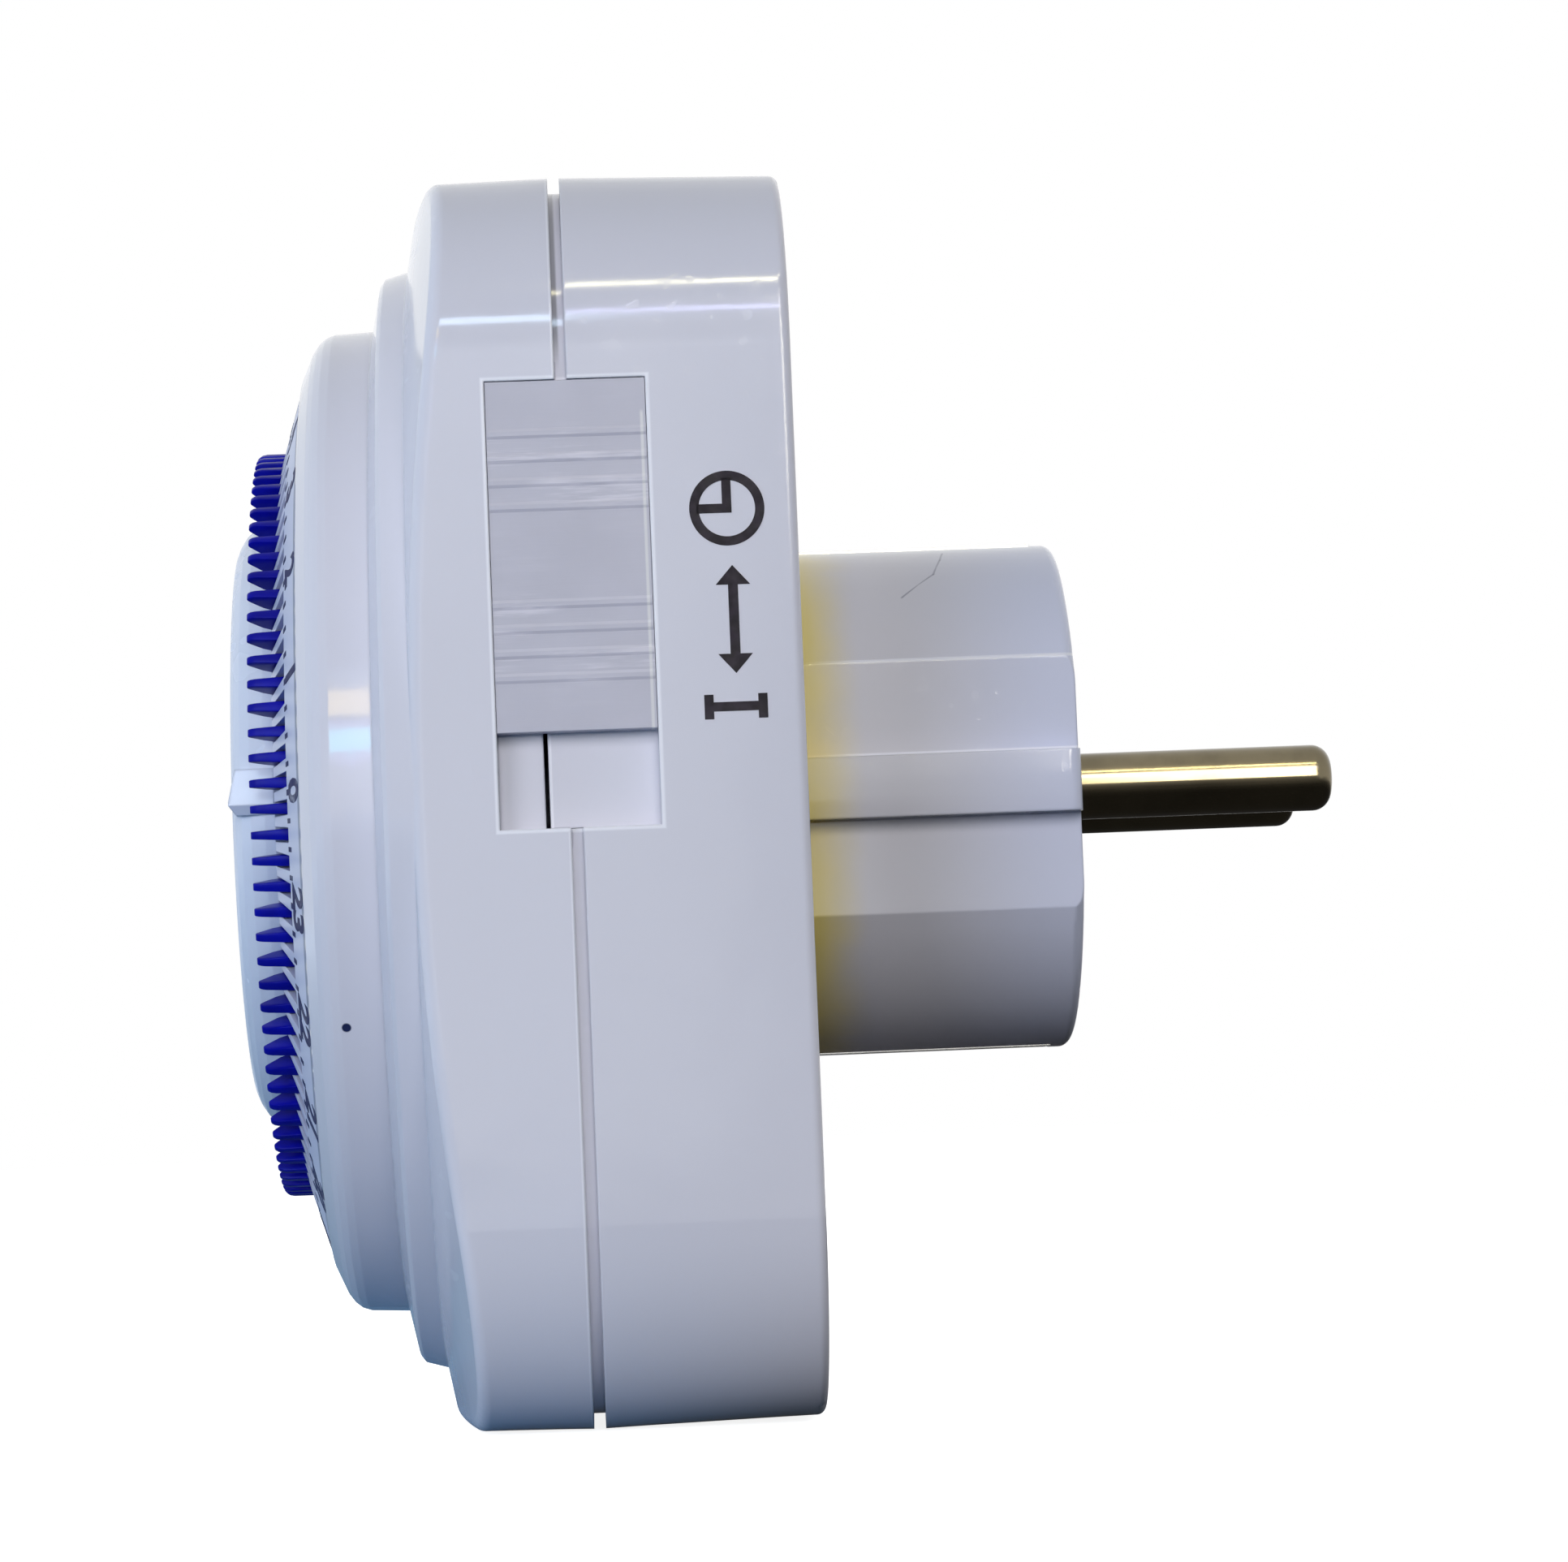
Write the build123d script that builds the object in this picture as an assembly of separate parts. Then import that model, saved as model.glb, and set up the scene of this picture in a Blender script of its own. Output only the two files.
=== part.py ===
from build123d import *
import math
import os

# Plug in 24 hour timer switch. Millimetres. The plug axis is Y: the pins point to +Y, the outlet and
# its dial face -Y, and Z is up. The origin is the centre of the plug's end face.

# ---- mains interface -------------------------------------------------------------------------
PIN_RADIUS = 2.4
PIN_SHANK_RADIUS = 2.15   # pin inside the plug
PIN_ROOT = 0.15           # bare shank between the plug's end and the pin's shoulder
SHANK_FIT = 0.02
PIN_RELIEF = 0.3          # shallow counterbore round each pin in the plug's end face
PIN_LENGTH = 19.0
PIN_SPACING = 19.0
PIN_TIP_ROUND = 1.35
PIN_TAIL = 9.0            # length of the pin inside the plug
PIN_COLLAR_RADIUS = 3.4
PIN_COLLAR_THICK = 2.0
CONTACT_HOLE_RADIUS = 2.75

# ---- plug body -------------------------------------------------------------------------------
PLUG_RADIUS = 18.7
PLUG_DEPTH = 20.5
PLUG_FLAT = 16.4          # distance of the guide flats from the axis
PLUG_RIB_WIDTH = 4.4      # guide rib between the flats
PLUG_FLAT_REACH = 9.1     # half height of the flats
PLUG_END_WALL = 3.5
PLUG_WALL = 2.1
PLUG_END_ROUND = 0.8

# ---- housing ---------------------------------------------------------------------------------
HOUSING_WIDTH = 82.0
HOUSING_TOP = 42.3
HOUSING_BOTTOM = 43.7
CORNER_RADIUS = 14.0
WALL = 2.0
REAR_DEPTH = 15.4         # back face to the middle of the seam
SEAM = 0.8
SEAM_DEPTH = 1.0
LIP_LENGTH = 2.9
DRAFT = 1.2
FRONT_RISE = 14.5         # middle of the seam to the top of the domed front
DOME_RADIUS = 225.0
BACK_ROUND = 0.6
FRONT_ROUND = 0.9
FIT = 0.05                # gap between seated mouldings
PLAY = 0.3                # gap between pieces that move past each other

# ---- raised rings on the front ---------------------------------------------------------------
RING_GAP = 0.4            # edge of the housing to the ring
RING_LAND = 4.35          # edge of the ring to the bezel
RING_RISE = 1.0
BEZEL_HEIGHT = 3.9
BEZEL_WALL = 1.55
BEZEL_LIP = 3.15          # edge of the bezel to its mouth
BEZEL_CONE = 1.0

# ---- dial ------------------------------------------------------------------------------------
BORE_CLEARANCE = 0.08
DIAL_GAP = 0.4            # between the dial's edge and the bezel's mouth
DIAL_CONE_SLOPE = 0.31
DIAL_WEB = 4.0
FLANGE_GAP = 0.5
DIAL_FLANGE = 1.2
DIAL_DEPTH = 12.6         # from the edge of the printed cone to the end of the drum
DRUM_WALL = 1.09
RING_TEETH = 96
RING_INSET = 1.02         # pitch circle of the ring gear inside the dial's edge
RING_FACE = 2.2
HUB_WALL = 0.82
BACKLASH = 0.12

# ---- segments --------------------------------------------------------------------------------
HOURS = 24
PER_HOUR = 4
BLADE_INNER_SHARE = 0.406 # places between the dial's hub and its drum
BLADE_OUTER_SHARE = 0.648
FOOT_SHARE = 0.938
BLADE_THICK = 0.85
BLADE_TIP_THICK = 0.5
BLADE_PROUD = 2.1
BLADE_TAIL = 2.2
BLADE_TRAVEL = 2.2
FOOT_SUNK = 0.3           # top of the foot below the printed cone
FOOT_DEPTH = 1.4
SLOT_GAP = 0.1
BLADE_PHASE = 2.6

# ---- socket insert ---------------------------------------------------------------------------
RECESS_RADIUS = 19.7
RIM_WALL = 2.7
RECESS_DEPTH = 17.5
RIM_HEIGHT = 5.4          # rim above the edge of the dial's cone
FLOOR = 2.0
SKIRT_WALL = 2.2
SHOULDER_REACH = 1.6
SHOULDER = 1.5
WASHER = 0.3
GUIDE_FACE = 16.9
GUIDE_HALF = 8.5
GUIDE_SLOT = 5.4
GUIDE_DEPTH = 6.0
POINTER_RIDGE = 0.7       # height of the pointer's ridge on the rim
POINTER_PROUD = 0.08
POINTER_TOP = 2.6
POINTER_BOTTOM = 0.6
POINTER_GAP = 0.2

# ---- outlet contacts, straps and earth -------------------------------------------------------
SLEEVE_WALL = 0.65
SLEEVE_LENGTH = 14.3
SLEEVE_GRIP = 0.05
STRAP = 0.8
STRAP_WIDTH = 4.0
EARTH_WIDTH = 5.0
EARTH_BOW = 1.2

# ---- override slide --------------------------------------------------------------------------
SLIDE_TRAVEL = 6.3
SLIDE_LENGTH = 23.3
SLIDE_WIDTH = 10.3
SLIDE_THICK = 1.8
SLOT_TOP = 26.4
SLOT_FRONT = 5.1          # front edge of the slot in front of the seam's middle
SLOT_RECESS = 2.1
SLOT_FLOOR = 1.3
SLOT_WALL = 1.2
RIB_PITCH = 1.5
RIB_COUNT = 4
RIB_WIDTH = 0.5
RIB_HEIGHT = 0.25
RIB_MARGIN = 2.6
LEG_WIDTH = 2.8
LEG_HEIGHT = 2.0

# ---- switch ----------------------------------------------------------------------------------
LEVER_TURN = 10.5
LEVER_SHAFT = 0.8
LEVER_TUBE = 1.5
SHAFT_GAP = 0.05
ARM_TURN = 2.18
CONTACT_SHARE = 0.237     # places between the socket insert and the slide's floor
CONTACT_WIDTH_SHARE = 0.263
LEG_SHARE = 0.303
ARM_THICK = 0.5
RIVET_RADIUS = 1.4
RIVET_HEIGHT = 1.0
CONTACT_GAP = 0.8
CAM_STEPS = 6

# ---- motor and gearing -----------------------------------------------------------------------
MOTOR_RADIUS = 8.6
MOTOR_LENGTH = 14.6
MOTOR_WALL = 0.6
ROTOR_RADIUS = 3.4
MOTOR_SHAFT = 0.8
PINION_TEETH = 12
WHEEL_TEETH = 30
WHEEL_MODULE = 0.5
WHEEL_FACE = 1.6
DRIVE_TEETH = 16
ARBOR_ANGLE = 230.0
ARBOR_RADIUS = 0.8
ARBOR_SEAT = 4.0
LEAD_RADIUS = 0.6
LEAD_LEVEL = -12.0
LEAD_NOTCH = 1.5

# ---- screws ----------------------------------------------------------------------------------
SCREW_RADIUS = 1.4
SCREW_HEAD_RADIUS = 2.8
SCREW_HEAD = 2.0
SCREW_LENGTH = 18.0
SCREW_DEEP = 4.0
BOSS_RADIUS = 3.6

# ---- planes that follow from the sizes -------------------------------------------------------
Y_BACK = -PLUG_DEPTH
Y_FLOOR = Y_BACK - WALL
Y_SEAM = Y_BACK - REAR_DEPTH
Y_REAR_EDGE = Y_SEAM + SEAM / 2
Y_FRONT_EDGE = Y_SEAM - SEAM / 2
Y_DOME = Y_SEAM - FRONT_RISE
HALF_WIDTH = HOUSING_WIDTH / 2
HEIGHT = HOUSING_TOP + HOUSING_BOTTOM
MID_Z = (HOUSING_TOP - HOUSING_BOTTOM) / 2
PIN_X = PIN_SPACING / 2

RING_RADIUS = HALF_WIDTH - RING_GAP
BEZEL_RADIUS = RING_RADIUS - RING_LAND
CHAMBER_RADIUS = BEZEL_RADIUS - BEZEL_WALL
BEZEL_MOUTH_RADIUS = BEZEL_RADIUS - BEZEL_LIP
DIAL_EDGE_RADIUS = BEZEL_MOUTH_RADIUS - DIAL_GAP
DIAL_FLANGE_RADIUS = CHAMBER_RADIUS - FLANGE_GAP
INSERT_RADIUS = RECESS_RADIUS + RIM_WALL
SHOULDER_RADIUS = INSERT_RADIUS + SHOULDER_REACH

ring_pitch = DIAL_EDGE_RADIUS - RING_INSET
RING_MODULE = 2 * ring_pitch / RING_TEETH
ring_root = ring_pitch - 1.05 * RING_MODULE
DRUM_INNER_RADIUS = ring_root - 0.2 - DRUM_WALL
hub_inner = INSERT_RADIUS + BORE_CLEARANCE
hub_outer = hub_inner + HUB_WALL
blade_room = DRUM_INNER_RADIUS - hub_outer
BLADE_INNER = hub_outer + BLADE_INNER_SHARE * blade_room
BLADE_OUTER = hub_outer + BLADE_OUTER_SHARE * blade_room
foot_outer = hub_outer + FOOT_SHARE * blade_room

Y_BEZEL_FOOT = Y_DOME + RING_RISE
Y_BEZEL_EDGE = Y_BEZEL_FOOT - BEZEL_HEIGHT
Y_MOUTH = Y_BEZEL_EDGE - BEZEL_CONE - 0.3
Y_DIAL_EDGE = Y_MOUTH

Y_RIM = Y_DIAL_EDGE - RIM_HEIGHT
Y_RECESS = Y_RIM + RECESS_DEPTH
Y_INSERT_FLOOR = Y_RECESS + FLOOR


def cone_y(radius):
    """Height of the dial's printed cone at a radius."""
    return Y_DIAL_EDGE - (DIAL_EDGE_RADIUS - radius) * DIAL_CONE_SLOPE


def dome_y(radius, inset=0.0):
    """Height of the domed front, or of its inner face, at a radius."""
    ball = DOME_RADIUS - inset
    return Y_DOME + DOME_RADIUS - math.sqrt(ball**2 - radius**2)


def box(x0, x1, y0, y1, z0, z1):
    centre = Pos((x0 + x1) / 2, (y0 + y1) / 2, (z0 + z1) / 2)
    return centre * Box(abs(x1 - x0), abs(y1 - y0), abs(z1 - z0))


def rod(x, z, radius, y0, y1):
    """Cylinder along Y."""
    return Pos(x, (y0 + y1) / 2, z) * Rot(90, 0, 0) * Cylinder(radius, abs(y1 - y0))


def rod_x(y, z, radius, x0, x1):
    """Cylinder along X."""
    return Pos((x0 + x1) / 2, y, z) * Rot(0, 90, 0) * Cylinder(radius, abs(x1 - x0))


def turned(points):
    """Solid of revolution about Y from (radius, y) points."""
    return revolve(Polygon(*points, align=None), axis=Axis.Y)


def plate_x(points, x0, x1):
    """Plate across X from (y, z) points."""
    return extrude(Plane.YZ.offset(x0) * Polygon(*points, align=None), amount=x1 - x0, dir=(1, 0, 0))


def shell_block(inset, y0, y1, taper):
    """Rounded block of the housing's outline, widest at y0, running to y1."""
    outline = RectangleRounded(HOUSING_WIDTH - 2 * inset, HEIGHT - 2 * inset, CORNER_RADIUS - inset)
    side = 1 if y1 > y0 else -1
    plane = Plane(origin=(0, y0, MID_Z), x_dir=(1, 0, 0), z_dir=(0, side, 0))
    return extrude(plane * outline, amount=abs(y1 - y0), taper=taper)


def gear(teeth, module, y_front, y_rear, at, phase, addendum=0.8, bore=0.0):
    """Spur gear with its axis along Y. One tooth points at the phase angle."""
    pitch = teeth * module / 2
    base = pitch * math.cos(math.radians(20))
    tip = pitch + addendum * module
    root = pitch - (addendum + 0.25) * module
    half = math.pi / (2 * teeth) - BACKLASH / (2 * pitch)
    inv_pitch = math.tan(math.radians(20)) - math.radians(20)

    def half_angle(radius):
        turn = math.acos(min(1.0, base / max(radius, base)))
        return half + inv_pitch - (math.tan(turn) - turn)

    radii = [root, pitch, (pitch + tip) / 2, tip]
    points = []
    for tooth in range(teeth):
        middle = math.radians(phase) + 2 * math.pi * tooth / teeth
        flank = [(r, -half_angle(r)) for r in radii] + [(r, half_angle(r)) for r in reversed(radii)]
        points += [(r * math.cos(middle + a), r * math.sin(middle + a)) for r, a in flank]
    gear_plane = Plane(origin=(at[0], y_rear, at[1]), x_dir=(1, 0, 0), z_dir=(0, -1, 0))
    face = gear_plane * Polygon(*points, align=None)
    wheel = extrude(face, amount=y_rear - y_front)
    if bore:
        wheel -= rod(at[0], at[1], bore, y_front - 1, y_rear + 1)
    return wheel


# ---- front cover -----------------------------------------------------------------------------
def ball(inset):
    return Pos(0, Y_DOME + DOME_RADIUS, 0) * Sphere(DOME_RADIUS - inset)


Y_CLIP = Y_DOME - 2
front_block = shell_block(0, Y_FRONT_EDGE, Y_CLIP, DRAFT) & ball(0)
front_rim = front_block.edges().filter_by(lambda e: e.bounding_box().max.Y < Y_FRONT_EDGE - 1)
front_block = fillet(front_rim, FRONT_ROUND)

ring_face = RING_RADIUS - 1.0
ring = turned([
    (CHAMBER_RADIUS, Y_DOME + 3),
    (CHAMBER_RADIUS, Y_BEZEL_FOOT),
    (BEZEL_RADIUS, Y_BEZEL_FOOT),
    (ring_face, Y_BEZEL_FOOT + 0.7),
    (ring_face + 0.4, Y_BEZEL_FOOT + 1.0),
    (RING_RADIUS, dome_y(RING_RADIUS) + 0.4),
    (RING_RADIUS, dome_y(RING_RADIUS) + 1.0),
])
bezel = turned([
    (CHAMBER_RADIUS, Y_BEZEL_FOOT + 1),
    (BEZEL_RADIUS, Y_BEZEL_FOOT + 1),
    (BEZEL_RADIUS - 0.2, Y_BEZEL_EDGE + 1.0),
    (BEZEL_RADIUS - 0.4, Y_BEZEL_EDGE + 0.4),
    (BEZEL_RADIUS - 0.8, Y_BEZEL_EDGE - 0.1),
    (BEZEL_RADIUS - 1.35, Y_BEZEL_EDGE - 0.5),
    (BEZEL_MOUTH_RADIUS, Y_MOUTH),
    (BEZEL_MOUTH_RADIUS, Y_MOUTH + 1.4),
    (CHAMBER_RADIUS, Y_MOUTH + 2.4),
])
front_cover = front_block + ring + bezel
front_cavity = shell_block(WALL, Y_FRONT_EDGE + 0.01, Y_CLIP, DRAFT) & ball(WALL)
pocket_radius = BEZEL_RADIUS + 1.8
Y_POCKET = Y_BEZEL_FOOT + 2.2
front_cover -= front_cavity
front_cover -= shell_block(SEAM_DEPTH, Y_FRONT_EDGE + 1, Y_SEAM - LIP_LENGTH, 0)
front_cover -= rod(0, 0, pocket_radius, Y_POCKET, dome_y(0, WALL) + 4)
front_cover -= turned([
    (0, Y_MOUTH - 1),
    (BEZEL_MOUTH_RADIUS, Y_MOUTH - 1),
    (BEZEL_MOUTH_RADIUS, Y_MOUTH + 1.4),
    (CHAMBER_RADIUS, Y_MOUTH + 2.4),
    (CHAMBER_RADIUS, Y_POCKET + 1),
    (0, Y_POCKET + 1),
])

# ---- rear housing with the plug body ---------------------------------------------------------
rear_block = shell_block(0, Y_REAR_EDGE, Y_BACK, DRAFT)
rear_block = fillet(rear_block.faces().sort_by(Axis.Y)[-1].edges(), BACK_ROUND)
rear_housing = rear_block - shell_block(WALL, Y_REAR_EDGE - 0.01, Y_FLOOR, DRAFT)
lip = shell_block(SEAM_DEPTH + FIT, Y_REAR_EDGE + 0.5, Y_SEAM - LIP_LENGTH + FIT, 0)
lip -= shell_block(WALL, Y_REAR_EDGE + 1, Y_SEAM - LIP_LENGTH - 1, 0)
rear_housing += lip

plug = rod(0, 0, PLUG_RADIUS, Y_BACK - 0.5, 0)
plug = fillet(plug.faces().sort_by(Axis.Y)[-1].edges(), PLUG_END_ROUND)
for side in (-1, 1):
    for level in (-1, 1):
        z0 = level * PLUG_RIB_WIDTH / 2
        z1 = level * PLUG_FLAT_REACH
        plug -= box(side * PLUG_FLAT, side * (PLUG_RADIUS + 1), Y_BACK, 1, z0, z1)
plug_core = rod(0, 0, PLUG_RADIUS - PLUG_WALL, Y_FLOOR, -PLUG_END_WALL)
core_half = PLUG_FLAT - PLUG_WALL + 0.1
plug_core &= box(-core_half, core_half, Y_FLOOR, 0, -PLUG_RADIUS, PLUG_RADIUS)
rear_housing = rear_housing + plug - plug_core

# ---- screw bosses ----------------------------------------------------------------------------
boss_shift = CORNER_RADIUS - WALL - BOSS_RADIUS
boss_x = HALF_WIDTH - CORNER_RADIUS + boss_shift * math.sqrt(0.5)
boss_top = HOUSING_TOP - CORNER_RADIUS + boss_shift * math.sqrt(0.5)
boss_bottom = -(HOUSING_BOTTOM - CORNER_RADIUS + boss_shift * math.sqrt(0.5))
boss_spots = [(sx * boss_x, z) for sx in (-1, 1) for z in (boss_top, boss_bottom)]
Y_BOSS = Y_SEAM + 0.9
Y_HEAD = Y_BACK - SCREW_DEEP
screws = []
for x, z in boss_spots:
    reach = dome_y(math.hypot(x, z), WALL) - 0.4
    column = rod(x, z, BOSS_RADIUS - 0.4, reach, Y_BOSS)
    front_cover += column & front_block
    front_cover -= rod(x, z, SCREW_RADIUS, Y_HEAD - SCREW_LENGTH - 0.5, Y_BOSS + 1)
    rear_housing += rod(x, z, BOSS_RADIUS, Y_BOSS + FIT, Y_BACK - 1.0)
    rear_housing -= rod(x, z, SCREW_RADIUS + 0.2, Y_BOSS - 1, Y_BACK + 1)
    rear_housing -= rod(x, z, SCREW_HEAD_RADIUS + PLAY, Y_HEAD, Y_BACK + 1)
    screw = rod(x, z, SCREW_HEAD_RADIUS, Y_HEAD, Y_HEAD + SCREW_HEAD)
    screw += rod(x, z, SCREW_RADIUS, Y_HEAD - SCREW_LENGTH, Y_HEAD)
    for turn in (0, 90):
        blade = Pos(x, Y_HEAD + SCREW_HEAD, z) * Rot(0, turn, 0) * Box(SCREW_HEAD_RADIUS * 1.2, 2.0, 0.7)
        screw -= blade
    screws.append(screw)

# ---- side slot for the override slide --------------------------------------------------------
Y_SLOT_FRONT = Y_SEAM - SLOT_FRONT
Y_SLOT_REAR = Y_SLOT_FRONT + SLIDE_WIDTH + 2 * 0.2
SLOT_BOTTOM = SLOT_TOP - SLIDE_LENGTH - SLIDE_TRAVEL - 2 * 0.12
X_FLOOR = HALF_WIDTH - SLOT_RECESS
X_FLOOR_IN = X_FLOOR - SLOT_FLOOR
side_room = X_FLOOR_IN - INSERT_RADIUS
CONTACT_X = INSERT_RADIUS + CONTACT_SHARE * side_room
CONTACT_WIDTH = CONTACT_WIDTH_SHARE * side_room
Y_SPLIT = Y_SEAM - 1.9
split_gap = 0.15

tub = box(X_FLOOR_IN, HALF_WIDTH + 1, Y_SLOT_FRONT - SLOT_WALL, Y_SLOT_REAR + SLOT_WALL,
          SLOT_BOTTOM - SLOT_WALL, SLOT_TOP + SLOT_WALL)
opening = box(X_FLOOR, HALF_WIDTH + 1, Y_SLOT_FRONT, Y_SLOT_REAR, SLOT_BOTTOM, SLOT_TOP)
guard = box(X_FLOOR_IN - WALL, HALF_WIDTH + 1, Y_SLOT_FRONT - SLOT_WALL, Y_REAR_EDGE,
            SLOT_BOTTOM - SLOT_WALL - FIT, SLOT_TOP + SLOT_WALL + FIT)
rear_housing -= guard

front_tub = (tub & front_block) & box(0, HOUSING_WIDTH, Y_DOME, Y_FRONT_EDGE, -HEIGHT, HEIGHT)
tongue = box(X_FLOOR_IN, X_FLOOR, Y_SPLIT + split_gap, Y_REAR_EDGE + 1,
             SLOT_BOTTOM + 0.1, SLOT_TOP - 0.1)
behind_split = box(X_FLOOR_IN - 1, X_FLOOR, Y_SPLIT - split_gap, Y_REAR_EDGE,
                   SLOT_BOTTOM + FIT, SLOT_TOP - FIT)
front_cover = front_cover + front_tub - opening - behind_split
rear_tub = (tub & rear_block) & box(0, HOUSING_WIDTH, Y_REAR_EDGE, Y_BACK - 1, -HEIGHT, HEIGHT)
x_lip = HALF_WIDTH - SEAM_DEPTH - FIT
bridge = SLOT_WALL + 2 * FIT
for z in (SLOT_TOP, SLOT_BOTTOM - bridge):
    rear_tub += box(X_FLOOR_IN, x_lip, Y_FRONT_EDGE, Y_REAR_EDGE + 0.5, z, z + bridge)
rear_housing = rear_housing + rear_tub - opening + tongue

# ---- override slide --------------------------------------------------------------------------
slide_y0 = Y_SLOT_FRONT + 0.2
slide_y1 = slide_y0 + SLIDE_WIDTH
slide_z1 = SLOT_TOP - 0.12
slide_z0 = slide_z1 - SLIDE_LENGTH
slide_x0 = X_FLOOR + 0.2
slide_x1 = slide_x0 + SLIDE_THICK
override_slide = box(slide_x0, slide_x1 - RIB_HEIGHT, slide_y0, slide_y1, slide_z0, slide_z1)
rib_span = (RIB_COUNT - 1) * RIB_PITCH
for first in (slide_z1 - RIB_MARGIN - RIB_PITCH / 2, slide_z0 + RIB_MARGIN + rib_span + RIB_PITCH):
    for index in range(RIB_COUNT):
        z = first - index * RIB_PITCH
        y0 = slide_y0 + 0.5
        y1 = slide_y1 - 0.5
        rib_foot = slide_x1 - RIB_HEIGHT - 0.2
        override_slide += box(rib_foot, slide_x1, y0, y1, z - RIB_WIDTH / 2, z + RIB_WIDTH / 2)
leg_y1 = Y_SEAM + 1.7
leg_y0 = leg_y1 - LEG_WIDTH
leg_z0 = slide_z0 + (SLIDE_LENGTH + LEG_HEIGHT) / 2
leg_z1 = leg_z0 + LEG_HEIGHT
leg_tip = X_FLOOR_IN - LEG_SHARE * side_room
slot_z0 = leg_z0 - SLIDE_TRAVEL - PLAY
floor_slot = box(X_FLOOR_IN - 1, X_FLOOR + 1, Y_SPLIT - 1, leg_y1 + PLAY, slot_z0, leg_z1 + PLAY)
override_slide += box(leg_tip, slide_x0 + 0.2, leg_y0, leg_y1, leg_z0, leg_z1)
foot_x = X_FLOOR_IN - 0.2
override_slide += box(foot_x - 1.3, foot_x, leg_y0, leg_y1 + 2.2, leg_z0 - 2, leg_z1 + 2)
rear_housing -= floor_slot
front_cover -= box(X_FLOOR_IN - 1, X_FLOOR, Y_SPLIT - 1, leg_y1, leg_z0 - SLIDE_TRAVEL - PLAY, leg_z1 + PLAY)

# ---- socket insert ---------------------------------------------------------------------------
Y_SHOULDER = Y_DOME + 3.6
rim_round = [
    (RECESS_RADIUS, Y_RIM + 0.5),
    (RECESS_RADIUS + 0.15, Y_RIM + 0.15),
    (RECESS_RADIUS + 0.5, Y_RIM),
    (RECESS_RADIUS + 1.1, Y_RIM + 0.25),
    (INSERT_RADIUS - 0.9, Y_RIM + 0.7),
    (INSERT_RADIUS - 0.35, Y_RIM + 1.4),
    (INSERT_RADIUS, Y_RIM + 2.4),
]
socket_insert = turned(
    [(0, Y_INSERT_FLOOR), (0, Y_RECESS), (RECESS_RADIUS, Y_RECESS)]
    + rim_round
    + [
        (INSERT_RADIUS, Y_SHOULDER),
        (SHOULDER_RADIUS, Y_SHOULDER),
        (SHOULDER_RADIUS, Y_SHOULDER + SHOULDER),
        (INSERT_RADIUS, Y_SHOULDER + SHOULDER),
        (INSERT_RADIUS, Y_FLOOR),
        (INSERT_RADIUS - SKIRT_WALL, Y_FLOOR),
        (INSERT_RADIUS - SKIRT_WALL, Y_INSERT_FLOOR),
    ]
)
recess_room = rod(0, 0, RECESS_RADIUS + 0.2, Y_RIM, Y_RECESS)
for side in (-1, 1):
    x_face = side * GUIDE_FACE
    x_wall = side * INSERT_RADIUS
    guide = box(x_face, x_wall, Y_RIM + GUIDE_DEPTH, Y_RECESS, -GUIDE_HALF, GUIDE_HALF)
    x_open = side * (GUIDE_FACE - 1)
    x_back = side * RECESS_RADIUS
    guide -= box(x_open, x_back, Y_RIM, Y_RECESS + 1, -GUIDE_SLOT / 2, GUIDE_SLOT / 2)
    socket_insert += guide & recess_room
    socket_insert -= rod(side * PIN_X, 0, CONTACT_HOLE_RADIUS, Y_RECESS - 1, Y_INSERT_FLOOR + 1)
Y_POINTER = cone_y(BLADE_INNER) - POINTER_GAP
pointer_outline = [
    (RECESS_RADIUS + 0.5, -POINTER_BOTTOM),
    (RECESS_RADIUS + 0.5, POINTER_TOP),
    (INSERT_RADIUS + 0.1, POINTER_TOP),
    (INSERT_RADIUS + POINTER_RIDGE, 0.05),
    (INSERT_RADIUS + 0.1, -POINTER_BOTTOM),
]
pointer_plane = Plane(origin=(0, Y_POINTER, 0), x_dir=(1, 0, 0), z_dir=(0, -1, 0))
pointer_face = pointer_plane * Polygon(*pointer_outline, align=None)
pointer = extrude(pointer_face, amount=Y_POINTER - Y_RIM + 1, dir=(0, -1, 0))
pointer &= plate_x([
    (Y_POINTER, POINTER_TOP),
    (Y_RIM + 0.4, POINTER_TOP),
    (Y_RIM - POINTER_PROUD, 0.3),
    (Y_RIM - POINTER_PROUD, 0.05),
    (Y_RIM + 0.4, -POINTER_BOTTOM),
    (Y_POINTER, -POINTER_BOTTOM),
], RECESS_RADIUS, INSERT_RADIUS + POINTER_RIDGE + 1)
socket_insert += pointer

# ---- dial ------------------------------------------------------------------------------------
Y_HUB_END = Y_SHOULDER - WASHER - 0.1
Y_DRUM_END = Y_DIAL_EDGE + DIAL_DEPTH
Y_FLANGE = Y_MOUTH + 2.4 + PLAY
web_back = cone_y(BLADE_INNER) + DIAL_WEB
dial = turned([
    (hub_inner, cone_y(BLADE_INNER)),
    (BLADE_INNER, cone_y(BLADE_INNER)),
    (DIAL_EDGE_RADIUS, Y_DIAL_EDGE),
    (DIAL_EDGE_RADIUS, Y_FLANGE),
    (DIAL_FLANGE_RADIUS, Y_FLANGE),
    (DIAL_FLANGE_RADIUS, Y_FLANGE + DIAL_FLANGE),
    (ring_root - 0.1, Y_FLANGE + DIAL_FLANGE),
    (ring_root - 0.1, Y_DRUM_END),
    (DRUM_INNER_RADIUS, Y_DRUM_END),
    (DRUM_INNER_RADIUS, web_back),
    (hub_outer, web_back),
    (hub_outer, Y_HUB_END),
    (hub_inner, Y_HUB_END),
])
arbor_rad = math.radians(ARBOR_ANGLE)
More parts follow.
